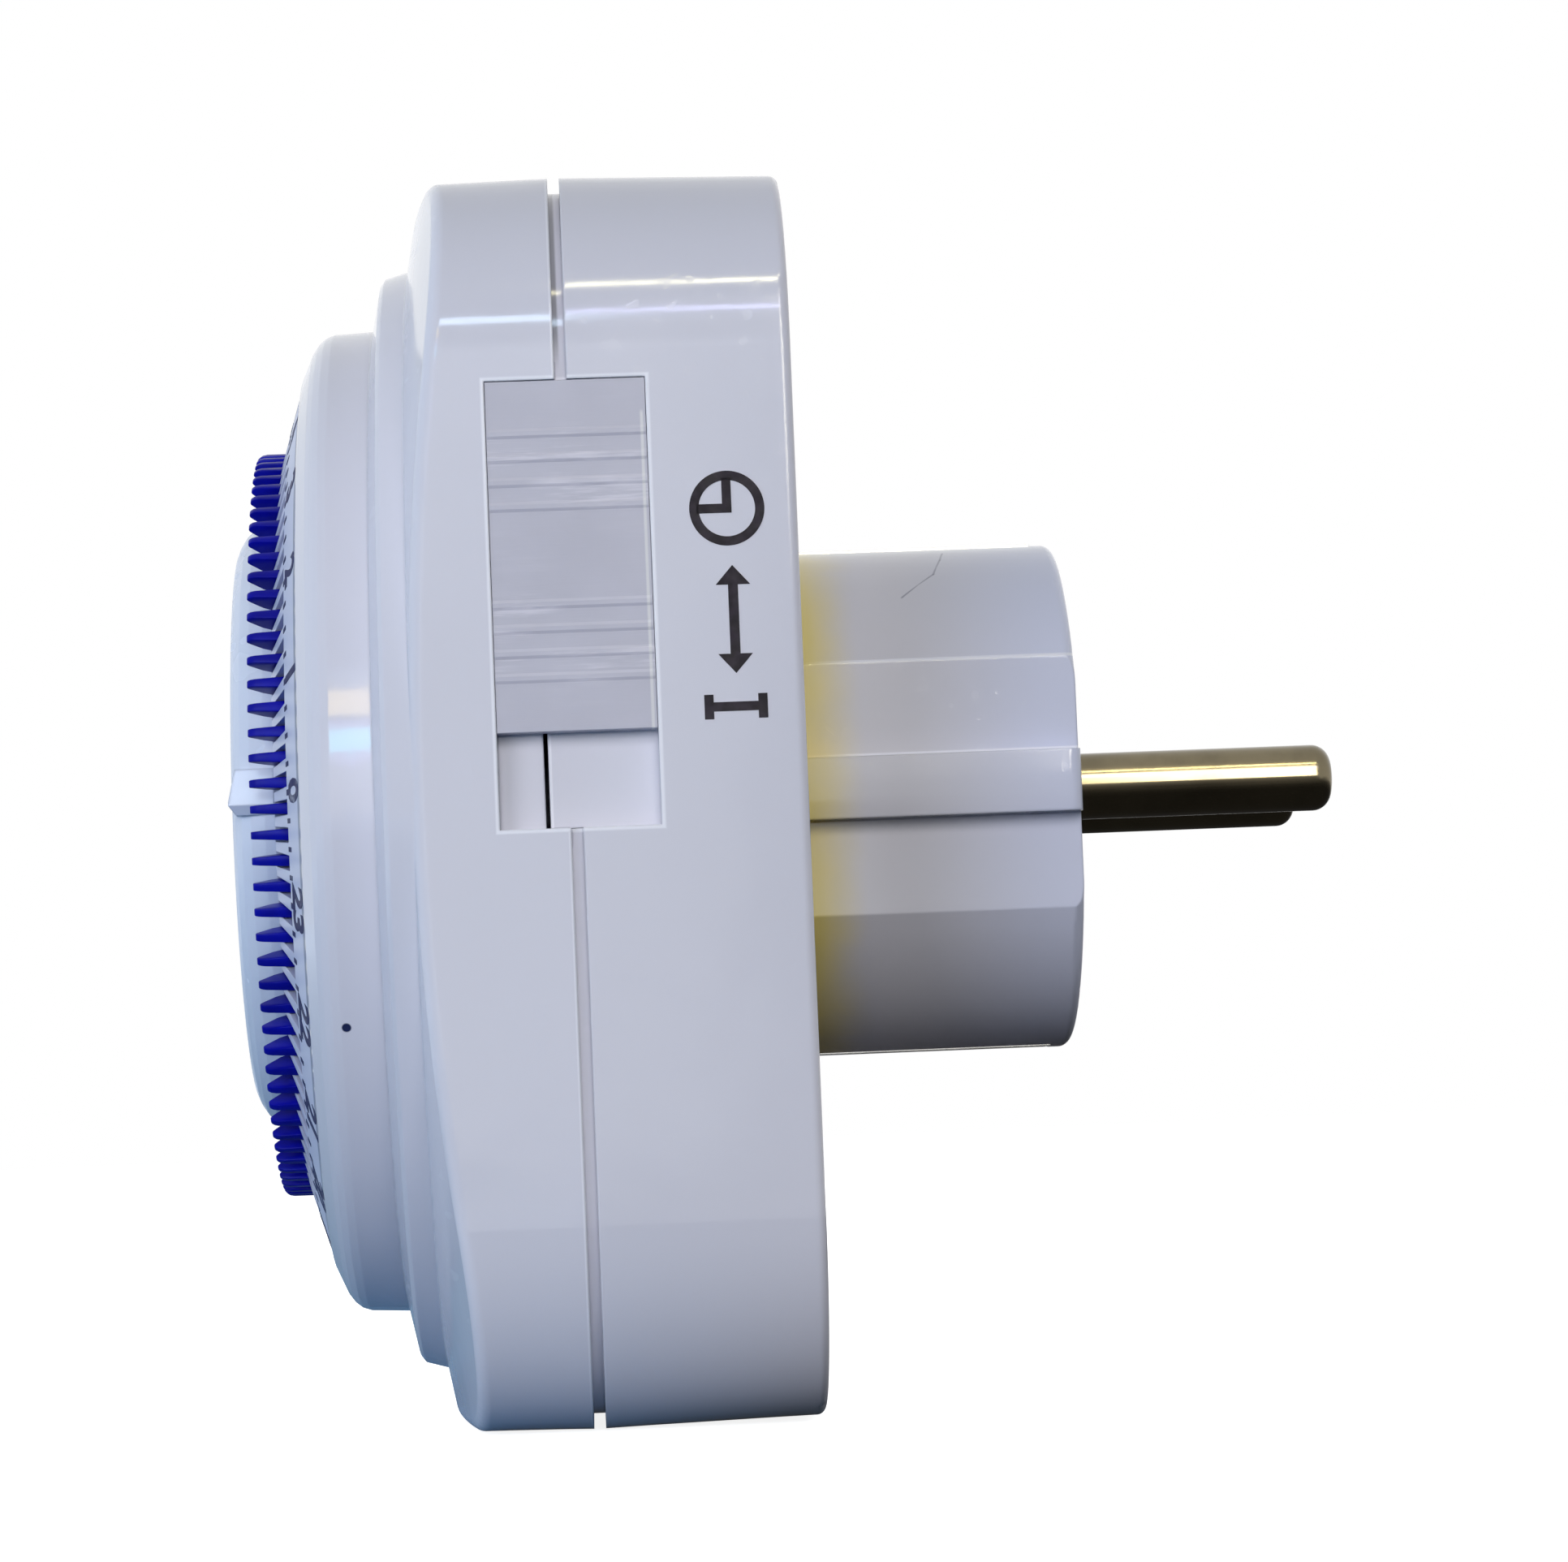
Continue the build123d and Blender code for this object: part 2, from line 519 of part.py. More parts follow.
drive_distance = (RING_TEETH + DRIVE_TEETH) * RING_MODULE / 2
arbor_at = (drive_distance * math.cos(arbor_rad), drive_distance * math.sin(arbor_rad))
ring_step = 360 / RING_TEETH
ring_gear = gear(RING_TEETH, RING_MODULE, Y_DRUM_END - RING_FACE, Y_DRUM_END, (0, 0), ARBOR_ANGLE)
dial += ring_gear - rod(0, 0, ring_root - 0.2, Y_DRUM_END - RING_FACE - 1, Y_DRUM_END + 1)

blade_count = HOURS * PER_HOUR
blade_step = 360 / blade_count
slot_half = BLADE_THICK / 2 + SLOT_GAP
slot_cut = box(BLADE_INNER - 0.2, foot_outer + 0.2, Y_RIM, web_back + 1, -slot_half, slot_half)
dial -= [Rot(0, -(BLADE_PHASE + i * blade_step), 0) * slot_cut for i in range(blade_count)]

# ---- segments, four to an hour ---------------------------------------------------------------
Y_TIP = cone_y(BLADE_OUTER) - BLADE_PROUD
Y_TAIL = web_back + BLADE_TAIL
foot_top = cone_y(foot_outer) + FOOT_SUNK
blade_profile = [
    (BLADE_INNER, Y_TAIL),
    (BLADE_INNER, cone_y(BLADE_INNER) + 0.1),
    (BLADE_OUTER - 0.5, Y_TIP + 0.15),
    (BLADE_OUTER - 0.3, Y_TIP),
    (BLADE_OUTER - 0.15, Y_TIP + 0.05),
    (BLADE_OUTER, Y_TIP + 0.35),
    (BLADE_OUTER, foot_top),
    (foot_outer, foot_top),
    (foot_outer, foot_top + FOOT_DEPTH),
    (BLADE_OUTER, foot_top + FOOT_DEPTH),
    (BLADE_OUTER, Y_TAIL),
]
blade_section = [
    (Y_TIP - 0.1, BLADE_TIP_THICK / 2),
    (foot_top, BLADE_THICK / 2),
    (Y_TAIL, BLADE_THICK / 2),
    (Y_TAIL, -BLADE_THICK / 2),
    (foot_top, -BLADE_THICK / 2),
    (Y_TIP - 0.1, -BLADE_TIP_THICK / 2),
]
blade = extrude(Polygon(*blade_profile, align=None), amount=BLADE_THICK, both=True)
blade &= plate_x(blade_section, BLADE_INNER - 1, foot_outer + 1)
hour_segments = {}
for hour in range(HOURS):
    angles = [BLADE_PHASE + (hour * PER_HOUR + i) * blade_step for i in range(PER_HOUR)]
    hour_segments[f"hour_{hour:02d}_segments"] = [Rot(0, -a, 0) * blade for a in angles]

friction_washer = rod(0, 0, SHOULDER_RADIUS - 0.1, Y_SHOULDER - WASHER, Y_SHOULDER)
friction_washer -= rod(0, 0, INSERT_RADIUS + 0.15, Y_SHOULDER - 1, Y_SHOULDER + 1)

# ---- plug pins -------------------------------------------------------------------------------
pins = {}
for name, side in (("line_pin", 1), ("neutral_pin", -1)):
    x = side * PIN_X
    pin = rod(x, 0, PIN_RADIUS, PIN_ROOT, PIN_LENGTH)
    pin = fillet(pin.faces().sort_by(Axis.Y)[-1].edges(), PIN_TIP_ROUND)
    pin += rod(x, 0, PIN_SHANK_RADIUS, -PIN_TAIL, PIN_ROOT + 1)
    pin += rod(x, 0, PIN_COLLAR_RADIUS, -PLUG_END_WALL - PIN_COLLAR_THICK, -PLUG_END_WALL)
    pins[name] = pin
    rear_housing -= rod(x, 0, PIN_SHANK_RADIUS + SHANK_FIT, -PLUG_END_WALL - 1, 1)
    rear_housing -= rod(x, 0, PIN_RADIUS + PIN_RELIEF, -PIN_RELIEF, 1)

# ---- outlet contact sleeves ------------------------------------------------------------------
Y_SLEEVE_END = Y_INSERT_FLOOR + SLEEVE_LENGTH
sleeve_inner = PIN_RADIUS + SLEEVE_GRIP
sleeve_outer = sleeve_inner + SLEEVE_WALL
sleeves = {}
for name, side in (("line_outlet_contact", 1), ("neutral_outlet_contact", -1)):
    x = side * PIN_X
    sleeve = rod(x, 0, sleeve_outer, Y_INSERT_FLOOR, Y_SLEEVE_END)
    sleeve -= rod(x, 0, sleeve_inner, Y_INSERT_FLOOR - 1, Y_SLEEVE_END + 1)
    sleeve -= box(x - 0.4, x + 0.4, Y_INSERT_FLOOR - 1, Y_SLEEVE_END - 4, -5, 5)
    sleeves[name] = sleeve

# ---- current straps --------------------------------------------------------------------------
strap_x = PIN_X + sleeve_outer
half_strap = STRAP_WIDTH / 2
Y_PAD = -PIN_TAIL
Y_LINE_RUN = Y_FLOOR - 2.2
pad_x = PIN_X - 2.0
neutral_strap = box(-strap_x - STRAP, -strap_x, Y_SLEEVE_END - 4, Y_PAD, -half_strap, half_strap)
neutral_strap += box(-strap_x - STRAP, -pad_x, Y_PAD - STRAP, Y_PAD, -half_strap, half_strap)

terminal_x0 = CONTACT_X - 0.8
terminal_x1 = CONTACT_X + CONTACT_WIDTH + 0.8
TERMINAL_Z = 1.6
FIXED_Z = 6.4
line_strap = box(strap_x, strap_x + STRAP, Y_LINE_RUN, Y_PAD, -half_strap, half_strap)
line_strap += box(pad_x, strap_x + STRAP, Y_PAD - STRAP, Y_PAD, -half_strap, half_strap)
riser_x0 = INSERT_RADIUS + 0.6
riser_x1 = terminal_x0 - 0.8
line_strap += box(strap_x, riser_x1, Y_LINE_RUN, Y_LINE_RUN + STRAP, -half_strap, half_strap)
line_strap += box(riser_x0, riser_x1, Y_LINE_RUN, Y_LINE_RUN + STRAP, -half_strap, FIXED_Z + 1.0)
line_strap += box(riser_x0, CONTACT_X, Y_LINE_RUN, Y_LINE_RUN + STRAP, FIXED_Z - 1.0, FIXED_Z + 1.0)

Y_OUTLET_RUN = Y_SLEEVE_END - 2.6
outlet_strap = box(strap_x, terminal_x0, Y_OUTLET_RUN, Y_OUTLET_RUN + STRAP, -half_strap, half_strap)
notch_half = half_strap + 0.6
socket_insert -= box(INSERT_RADIUS - SKIRT_WALL - 2, SHOULDER_RADIUS, Y_OUTLET_RUN - 0.6, Y_FLOOR + 1,
                     -notch_half, notch_half)

# ---- earth straps ----------------------------------------------------------------------------
earth_mid = PLUG_RADIUS - 0.05 - STRAP / 2
half_earth = EARTH_WIDTH / 2
Y_EARTH_END = -1.6
Y_EARTH_TIP = Y_RIM + 2.5


def earth_strap(side):
    middle = [
        (Y_EARTH_END, earth_mid),
        (Y_RECESS - 1.5, earth_mid),
        (Y_RECESS - 8.5, earth_mid - EARTH_BOW),
        (Y_EARTH_TIP, earth_mid + 0.3),
    ]
    half = STRAP / 2
    outer = [(y, side * (z + half)) for y, z in middle]
    inner = [(y, side * (z - half)) for y, z in reversed(middle)]
    return plate_x(outer + inner, -half_earth, half_earth)


earth_straps = {"earth_strap_top": earth_strap(1), "earth_strap_bottom": earth_strap(-1)}
for side in (-1, 1):
    z0 = side * (earth_mid - STRAP / 2)
    rear_housing -= box(-half_earth - FIT, half_earth + FIT, Y_FLOOR - 1, Y_EARTH_END + FIT, z0,
                        side * (PLUG_RADIUS + 1))
    z0 = side * (earth_mid - STRAP / 2 - 0.2)
    z1 = side * (earth_mid + STRAP / 2 + 0.2)
    socket_insert -= box(-half_earth - 0.2, half_earth + 0.2, Y_RECESS - 0.5, Y_INSERT_FLOOR + 1, z0, z1)
keep_back = box(-half_earth - 1, half_earth + 1, Y_FLOOR, Y_BACK, earth_mid + STRAP / 2, earth_mid + 3)
rear_housing += keep_back
rear_housing += box(-half_earth - 1, half_earth + 1, Y_FLOOR, Y_BACK, -earth_mid - 3, -earth_mid - STRAP / 2)

# ---- trip lever ------------------------------------------------------------------------------
LEVER_Y = Y_DRUM_END + 2.5
LEVER_Z = SLOT_TOP + 2.0
nose_angle = math.radians(49.2)
nose_radius = (BLADE_INNER + BLADE_OUTER) / 2
nose_x0 = nose_radius * math.cos(nose_angle) - 0.7
nose_x1 = nose_x0 + 1.4
cam_x0 = leg_tip - 0.2
cam_x1 = leg_tip + 2.2
nose_z0 = nose_radius * math.sin(nose_angle) - 0.7
Y_NOSE = Y_TAIL + BLADE_TRAVEL + 0.45

tube = rod_x(LEVER_Y, LEVER_Z, LEVER_TUBE, nose_x0, cam_x1)
nose_arm = [
    (LEVER_Y - 1.2, LEVER_Z),
    (LEVER_Y - 1.2, nose_z0 + 1.4),
    (Y_NOSE, nose_z0 + 1.4),
    (Y_NOSE, nose_z0),
    (LEVER_Y + 0.8, nose_z0),
    (LEVER_Y + 0.8, LEVER_Z),
]
Y_ARM = Y_SEAM - 0.1
finger_y = Y_ARM - ARM_THICK / 2 - 0.15
finger = [
    (LEVER_Y - 1.0, LEVER_Z),
    (LEVER_Y - 1.0, LEVER_Z - 4.6),
    (finger_y, LEVER_Z - 4.6),
    (finger_y, LEVER_Z - 2.8),
    (LEVER_Y + 1.2, LEVER_Z - 2.8),
    (LEVER_Y + 1.2, LEVER_Z),
]
# The cam is the path of the slide's corner seen from the turning lever.
cam_gap = 0.2
cam = []
for step in range(CAM_STEPS + 1):
    share = step / CAM_STEPS
    turn = -math.radians(LEVER_TURN) * share
    dy = leg_y1 + cam_gap - LEVER_Y
    dz = leg_z0 - SLIDE_TRAVEL * share - LEVER_Z
    cam.append((LEVER_Y + dy * math.cos(turn) - dz * math.sin(turn),
                LEVER_Z + dy * math.sin(turn) + dz * math.cos(turn)))
cam_back = [(y + 1.5, z - 0.3) for y, z in reversed(cam)]
cam_arm = (
    [(LEVER_Y - 0.9, LEVER_Z), (LEVER_Y - 0.9, LEVER_Z - 2.0), (leg_y1 + cam_gap, leg_z1 + 1.0)]
    + cam
    + cam_back
    + [(leg_y1 + cam_gap + 1.5, leg_z1 + 2.6), (LEVER_Y + 1.3, LEVER_Z)]
)
trip_lever = tube + plate_x(nose_arm, nose_x0, nose_x1)
trip_lever += plate_x(finger, CONTACT_X + 1.0, CONTACT_X + CONTACT_WIDTH - 0.6)
trip_lever += plate_x(cam_arm, cam_x0, cam_x1)
trip_lever -= rod_x(LEVER_Y, LEVER_Z, LEVER_SHAFT + SHAFT_GAP, nose_x0 - 1, cam_x1 + 1)

post_half = 1.8
post_x0 = nose_x0 - 0.4 - 2.4
post_x1 = cam_x1 + 0.4
for x0, x1 in ((post_x0, post_x0 + 2.4), (post_x1, post_x1 + 1.6)):
    rear_housing += box(x0, x1, LEVER_Y - post_half, Y_BACK - 1, LEVER_Z - post_half, LEVER_Z + post_half)
rear_housing -= rod_x(LEVER_Y, LEVER_Z, LEVER_SHAFT, post_x0 - 1, post_x1 + 1.2)
lever_arbor = rod_x(LEVER_Y, LEVER_Z, LEVER_SHAFT, post_x0, post_x1 + 1.2)

# ---- switch contacts -------------------------------------------------------------------------
pin_r = 0.5
eye_r = 1.0
y_web = Y_ARM + eye_r + PLAY
contact_terminal = box(terminal_x0, terminal_x1, y_web, Y_FLOOR, TERMINAL_Z - 0.4, TERMINAL_Z + 0.4)
for x0, x1 in ((terminal_x0, CONTACT_X - 0.2), (CONTACT_X + CONTACT_WIDTH + 0.2, terminal_x1)):
    contact_terminal += box(x0, x1, Y_ARM - 0.8, y_web + 0.5, TERMINAL_Z - 0.8, TERMINAL_Z + 0.8)
contact_terminal += rod_x(Y_ARM, TERMINAL_Z, pin_r, terminal_x0, terminal_x1)

rivet_x = CONTACT_X + CONTACT_WIDTH / 2
rivet_z = 20.0
contact_arm = rod_x(Y_ARM, TERMINAL_Z, eye_r, CONTACT_X, CONTACT_X + CONTACT_WIDTH)
leaf_x1 = CONTACT_X + CONTACT_WIDTH - 0.2
contact_arm += box(CONTACT_X + 0.2, leaf_x1, Y_ARM - ARM_THICK / 2, Y_ARM + ARM_THICK / 2,
                   TERMINAL_Z, LEVER_Z - 2.0)
contact_arm -= rod_x(Y_ARM, TERMINAL_Z, pin_r + SHAFT_GAP, CONTACT_X - 1, CONTACT_X + CONTACT_WIDTH + 1)
Y_RIVET = Y_ARM + ARM_THICK / 2 + RIVET_HEIGHT
contact_arm += rod(rivet_x, rivet_z, RIVET_RADIUS, Y_ARM, Y_RIVET)

Y_ANVIL = Y_RIVET + CONTACT_GAP
fixed_contact = rod(rivet_x, rivet_z, RIVET_RADIUS, Y_ANVIL, Y_ANVIL + 0.6)
fixed_contact += box(CONTACT_X, CONTACT_X + CONTACT_WIDTH, Y_ANVIL + 0.35, Y_ANVIL + 0.35 + STRAP,
                     FIXED_Z - STRAP / 2, rivet_z + RIVET_RADIUS)
fixed_contact += box(CONTACT_X, CONTACT_X + CONTACT_WIDTH, Y_ANVIL + 0.35, Y_FLOOR,
                     FIXED_Z - STRAP / 2, FIXED_Z + STRAP / 2)

# ---- motor and gearing -----------------------------------------------------------------------
wheel_distance = (PINION_TEETH + WHEEL_TEETH) * WHEEL_MODULE / 2
motor_z = -(HOUSING_BOTTOM - WALL - 0.6 - MOTOR_RADIUS)
wheel_turn = math.asin((motor_z - arbor_at[1]) / wheel_distance)
motor_x = arbor_at[0] + wheel_distance * math.cos(wheel_turn)
Y_CAN = Y_FLOOR - MOTOR_LENGTH + STRAP
motor_can = rod(motor_x, motor_z, MOTOR_RADIUS, Y_CAN, Y_FLOOR)
motor_can -= rod(motor_x, motor_z, MOTOR_RADIUS - MOTOR_WALL, Y_CAN - 1, Y_FLOOR - STRAP)
motor_can -= rod(motor_x, motor_z, MOTOR_SHAFT + SHAFT_GAP, Y_CAN, Y_FLOOR + 1)
motor_cap = rod(motor_x, motor_z, MOTOR_RADIUS, Y_CAN - STRAP, Y_CAN)
motor_cap -= rod(motor_x, motor_z, MOTOR_SHAFT + SHAFT_GAP, Y_CAN - 2, Y_CAN + 1)
Y_COIL_FRONT = Y_CAN + 0.6
Y_COIL_REAR = Y_FLOOR - STRAP - 0.6
motor_coil = rod(motor_x, motor_z, MOTOR_RADIUS - MOTOR_WALL, Y_COIL_FRONT, Y_COIL_REAR)
motor_coil -= rod(motor_x, motor_z, ROTOR_RADIUS + 0.8, Y_COIL_FRONT - 1, Y_COIL_REAR + 1)
Y_DRIVE_REAR = Y_DRUM_END
Y_DRIVE_FRONT = Y_DRUM_END - RING_FACE
Y_WHEEL_REAR = Y_DRUM_END + 3.4
Y_WHEEL_FRONT = Y_WHEEL_REAR - WHEEL_FACE
Y_PINION_REAR = Y_WHEEL_REAR + 0.3
Y_PINION_FRONT = Y_WHEEL_FRONT - 0.3
motor_rotor = rod(motor_x, motor_z, ROTOR_RADIUS, Y_COIL_FRONT + 0.6, Y_COIL_REAR - 0.6)
motor_rotor += rod(motor_x, motor_z, MOTOR_SHAFT, Y_PINION_FRONT - 0.4, Y_FLOOR - 0.2)

away = math.degrees(wheel_turn)
wheel_step = 360 / WHEEL_TEETH
motor_pinion = gear(PINION_TEETH, WHEEL_MODULE, Y_PINION_FRONT, Y_PINION_REAR, (motor_x, motor_z),
                    away + 180, bore=MOTOR_SHAFT)
drive_phase = ARBOR_ANGLE + 180 + 180 / DRIVE_TEETH
reduction_gear = gear(DRIVE_TEETH, RING_MODULE, Y_DRIVE_FRONT, Y_DRIVE_REAR, arbor_at, drive_phase)
wheel_phase = away + wheel_step / 2
reduction_gear += gear(WHEEL_TEETH, WHEEL_MODULE, Y_WHEEL_FRONT, Y_WHEEL_REAR, arbor_at, wheel_phase)
reduction_gear += rod(arbor_at[0], arbor_at[1], 2.4, Y_DRIVE_REAR, Y_WHEEL_REAR + 0.8)
reduction_gear -= rod(arbor_at[0], arbor_at[1], ARBOR_RADIUS + SHAFT_GAP, Y_DRIVE_FRONT - 1, Y_WHEEL_REAR + 2)
Y_ARBOR_BOSS = Y_WHEEL_REAR + 1.0
rear_housing += rod(arbor_at[0], arbor_at[1], ARBOR_RADIUS * 2, Y_ARBOR_BOSS, Y_BACK - 1)
rear_housing -= rod(arbor_at[0], arbor_at[1], ARBOR_RADIUS, Y_ARBOR_BOSS - 1, Y_FLOOR - ARBOR_SEAT)
gear_arbor = rod(arbor_at[0], arbor_at[1], ARBOR_RADIUS, Y_DRIVE_FRONT - 0.3, Y_FLOOR - ARBOR_SEAT)

# ---- motor leads -----------------------------------------------------------------------------
lead_y = Y_LINE_RUN + STRAP + LEAD_RADIUS - 0.6
neutral_lead_x = -(strap_x + STRAP / 2)


def can_edge(x):
    """Height at which a lead meets the top of the can."""
    nearest = abs(x - motor_x) - LEAD_RADIUS
    return motor_z + math.sqrt(MOTOR_RADIUS**2 - max(nearest, 0) ** 2) + FIT


def lead(points):
    path = Polyline(*points)
    start = Plane(origin=path @ 0, z_dir=path % 0)
    return sweep(start * Circle(LEAD_RADIUS), path=path, transition=Transition.RIGHT)


live_lead_x = neutral_lead_x + 4.0
neutral_lead_y = Y_SLEEVE_END - 3.0
leads = [
    lead([
        (neutral_lead_x, neutral_lead_y, can_edge(neutral_lead_x)),
        (neutral_lead_x, neutral_lead_y, -half_strap),
    ]),
    lead([
        (live_lead_x, lead_y, can_edge(live_lead_x)),
        (live_lead_x, lead_y, LEAD_LEVEL),
        (strap_x + STRAP / 2, lead_y, LEAD_LEVEL),
        (strap_x + STRAP / 2, lead_y, -half_strap),
    ]),
]
socket_insert -= box(neutral_lead_x - 1.2, live_lead_x + 1.2, min(lead_y, neutral_lead_y) - 1.2, Y_FLOOR + 1,
                     -INSERT_RADIUS - 1, LEAD_LEVEL - LEAD_NOTCH)

# ---- write the parts -------------------------------------------------------------------------
nodes = {
    "rear_housing": rear_housing,
    "front_cover": front_cover,
    "socket_insert": socket_insert,
    "dial": dial,
    "friction_washer": friction_washer,
    "override_slide": override_slide,
    "trip_lever": trip_lever,
    "lever_arbor": lever_arbor,
    "contact_arm": contact_arm,
    "contact_terminal": contact_terminal,
    "fixed_contact": fixed_contact,
    "line_strap": line_strap,
    "outlet_strap": outlet_strap,
    "neutral_strap": neutral_strap,
    "motor_can": motor_can,
    "motor_cap": motor_cap,
    "motor_coil": motor_coil,
    "motor_rotor": motor_rotor,
    "motor_pinion": motor_pinion,
    "reduction_gear": reduction_gear,
    "gear_arbor": gear_arbor,
    "housing_screws": screws,
    "motor_leads": leads,
    **pins,
    **sleeves,
    **earth_straps,
    **hour_segments,
}

os.makedirs("parts", exist_ok=True)
for name, shape in nodes.items():
    pieces = shape if isinstance(shape, list) else [shape]
    solids = [solid for piece in pieces for solid in piece.solids()]
    export_step(solids[0] if len(solids) == 1 else Compound(children=solids), f"parts/{name}.step")
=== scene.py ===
"""Looks of a plug in timer switch, built round its packed frame.

The file is laid out as an add-on: settings, one operator for each piece or group of like pieces, a
panel that lists them, and a main function that runs them in order. All sizes are in metres. +Y runs
along the plug's pins, -Y towards the dial, +Z up and +X towards the override slide.
"""

import math

import bpy
from bpy.props import FloatProperty, FloatVectorProperty, IntProperty, PointerProperty
from mathutils import Matrix, Vector


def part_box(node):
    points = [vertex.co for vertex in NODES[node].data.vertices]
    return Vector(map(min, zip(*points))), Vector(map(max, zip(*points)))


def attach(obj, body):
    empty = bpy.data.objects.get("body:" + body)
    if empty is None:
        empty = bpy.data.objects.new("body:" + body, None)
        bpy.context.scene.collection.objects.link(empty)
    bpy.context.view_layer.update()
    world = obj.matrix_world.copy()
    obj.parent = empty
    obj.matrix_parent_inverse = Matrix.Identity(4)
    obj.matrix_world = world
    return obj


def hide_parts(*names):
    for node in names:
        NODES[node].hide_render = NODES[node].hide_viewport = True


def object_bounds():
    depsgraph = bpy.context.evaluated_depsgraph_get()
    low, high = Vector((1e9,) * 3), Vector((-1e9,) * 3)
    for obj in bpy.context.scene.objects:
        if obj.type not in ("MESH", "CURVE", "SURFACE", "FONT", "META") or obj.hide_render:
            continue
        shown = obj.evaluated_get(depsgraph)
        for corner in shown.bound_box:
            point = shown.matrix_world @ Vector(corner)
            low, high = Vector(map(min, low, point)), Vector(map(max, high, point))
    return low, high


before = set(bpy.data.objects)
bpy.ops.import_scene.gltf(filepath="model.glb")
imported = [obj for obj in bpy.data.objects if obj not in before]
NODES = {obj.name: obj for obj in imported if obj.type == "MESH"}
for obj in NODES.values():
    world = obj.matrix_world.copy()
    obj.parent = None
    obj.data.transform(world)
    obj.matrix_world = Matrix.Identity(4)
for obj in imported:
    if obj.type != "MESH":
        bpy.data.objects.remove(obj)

bl_info = {
    "name": "Plug In Timer Switch",
    "version": (1, 0, 0),
    "blender": (4, 5, 0),
    "location": "View3D > Sidebar > Timer Switch",
    "description": "Builds the pieces and finishes of a plug in timer switch round its frame",
    "category": "Object",
}

MM = 0.001
WELD_DISTANCE = 0.001 * MM
HOURS = 24
QUARTERS = 4
CAD_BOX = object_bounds()

# ---- places on the dial, from the plug's axis --------------------------------------------------
BLADE_INNER = 25.9 * MM         # radii of a segment's blade and of its foot
BLADE_OUTER = 27.445 * MM
FOOT_OUTER = 29.3 * MM
CONE_EDGE = 32.7 * MM           # radius and level of the face's outer edge
CONE_EDGE_Y = -54.6 * MM
CONE_SLOPE = 0.31
FIRST_BLADE = math.radians(2.6)
BLADE_STEP = math.radians(360 / (HOURS * QUARTERS))

# ---- places on the side face -------------------------------------------------------------------
SIDE_X = 41.0 * MM
SIDE_DRAFT = math.radians(1.2)
REAR_EDGE_Y = -35.5 * MM        # the seam groove runs between these two edges
FRONT_EDGE_Y = -36.3 * MM
SPLIT_EDGE_Y = -37.65 * MM      # where the covers meet on the slot's floor
SLOT_MIDDLE_Y = -35.65 * MM
SLOT_HALF_Y = 5.35 * MM
SLOT_MIDDLE_Z = 11.48 * MM
SLOT_HALF_Z = 14.92 * MM
# From here on pairs are the two ends of a fade.
SIDE_FROM_X = (39.6 * MM, 40.0 * MM)
SLOT_FLOOR_FROM_X = (37.8 * MM, 38.6 * MM)
GROOVE_DARK_FROM_Z = (26.8 * MM, 30.0 * MM)
GROOVE_DARK_TO_Y = (-36.06 * MM, -35.88 * MM)
RIM_FADE = (0.16 * MM, 0.34 * MM)
SEAM_FADE = (0.05 * MM, 0.16 * MM)
SPLIT_FADE = (0.06 * MM, 0.16 * MM)

# ---- places on the plug body -------------------------------------------------------------------
PLUG_BASE_Y = -20.5 * MM
PLUG_FROM_Y = (PLUG_BASE_Y + 0.05 * MM, PLUG_BASE_Y + 0.2 * MM)
PLUG_COOLER_FROM_Y = (-13.0 * MM, -1.0 * MM)
FLAT_TOP_Z = 9.1 * MM
RAIL_TOP_Z = 2.4 * MM
FLATS_FROM_X = (14.0 * MM, 14.5 * MM)

# ---- surfaces ----------------------------------------------------------------------------------
SOFT_EDGE = 0.4                 # share of a thin mark's half width that is at full strength
SPECKED_PATCH = (0.55, 0.57)    # levels of the noise that sparse marks start and end at
SCRATCHED_PATCH = (0.52, 0.62)
SCRATCH_CREST = (0.66, 0.70)
METAL_EDGE = 0.12 * MM
COVER_DUST = (0.12, 0.12, 0.16)
COVER_WAVES = 6.0               # height of the moulding's waves, with its fine grain as 1
COVER_RELIEF = 0.003 * MM

# ---- studio ------------------------------------------------------------------------------------
LIGHT_DISTANCE = 1.0
LIGHT_TARGET = Vector((0.0, -22.0 * MM, 0.0))


# ================================================================================================
# Settings
# ================================================================================================
def colour_setting(name, description, default):
    return FloatVectorProperty(name=name, description=description, subtype="COLOR", size=3,
                               min=0.0, max=1.0, default=default)


def length_setting(name, description, default):
    return FloatProperty(name=name, description=description, unit="LENGTH", min=0.0,
                         default=default, precision=5)


def share_setting(name, description, default):
    return FloatProperty(name=name, description=description, subtype="FACTOR", min=0.0, max=1.0,
                         default=default)


class HousingSettings(bpy.types.PropertyGroup):
    """The two white covers and the plug body"""
    plastic: colour_setting("Plastic", "Colour of the moulded covers", (0.64, 0.635, 0.715))
    plug_plastic: colour_setting("Plug plastic", "Colour of the plug body", (0.62, 0.605, 0.65))
    yellowing: colour_setting("Yellowing", "Colour of the aged plastic round the plug's base",
                              (0.84, 0.68, 0.21))
    yellow_reach: length_setting("Yellow reach", "How far the yellowing runs up the plug", 4.5 * MM)
    # Colour of the painted highlights on the edges round the slot and seam, and along the plug's
    # flat.
    burnish: colour_setting("Burnish", "Colour of the rubbed edges round the slot and seam",
                            (0.86, 0.86, 0.93))
    roughness: share_setting("Roughness", "Roughness of the moulded surface", 0.08)
    edge: length_setting("Edge", "Rounding seen on the moulded edges", 0.25 * MM)


class InsertSettings(bpy.types.PropertyGroup):
    """The outlet's socket insert"""
    plastic: colour_setting("Plastic", "Colour of the glossy insert", (0.61, 0.66, 0.79))
    roughness: share_setting("Roughness", "Roughness of the insert", 0.2)


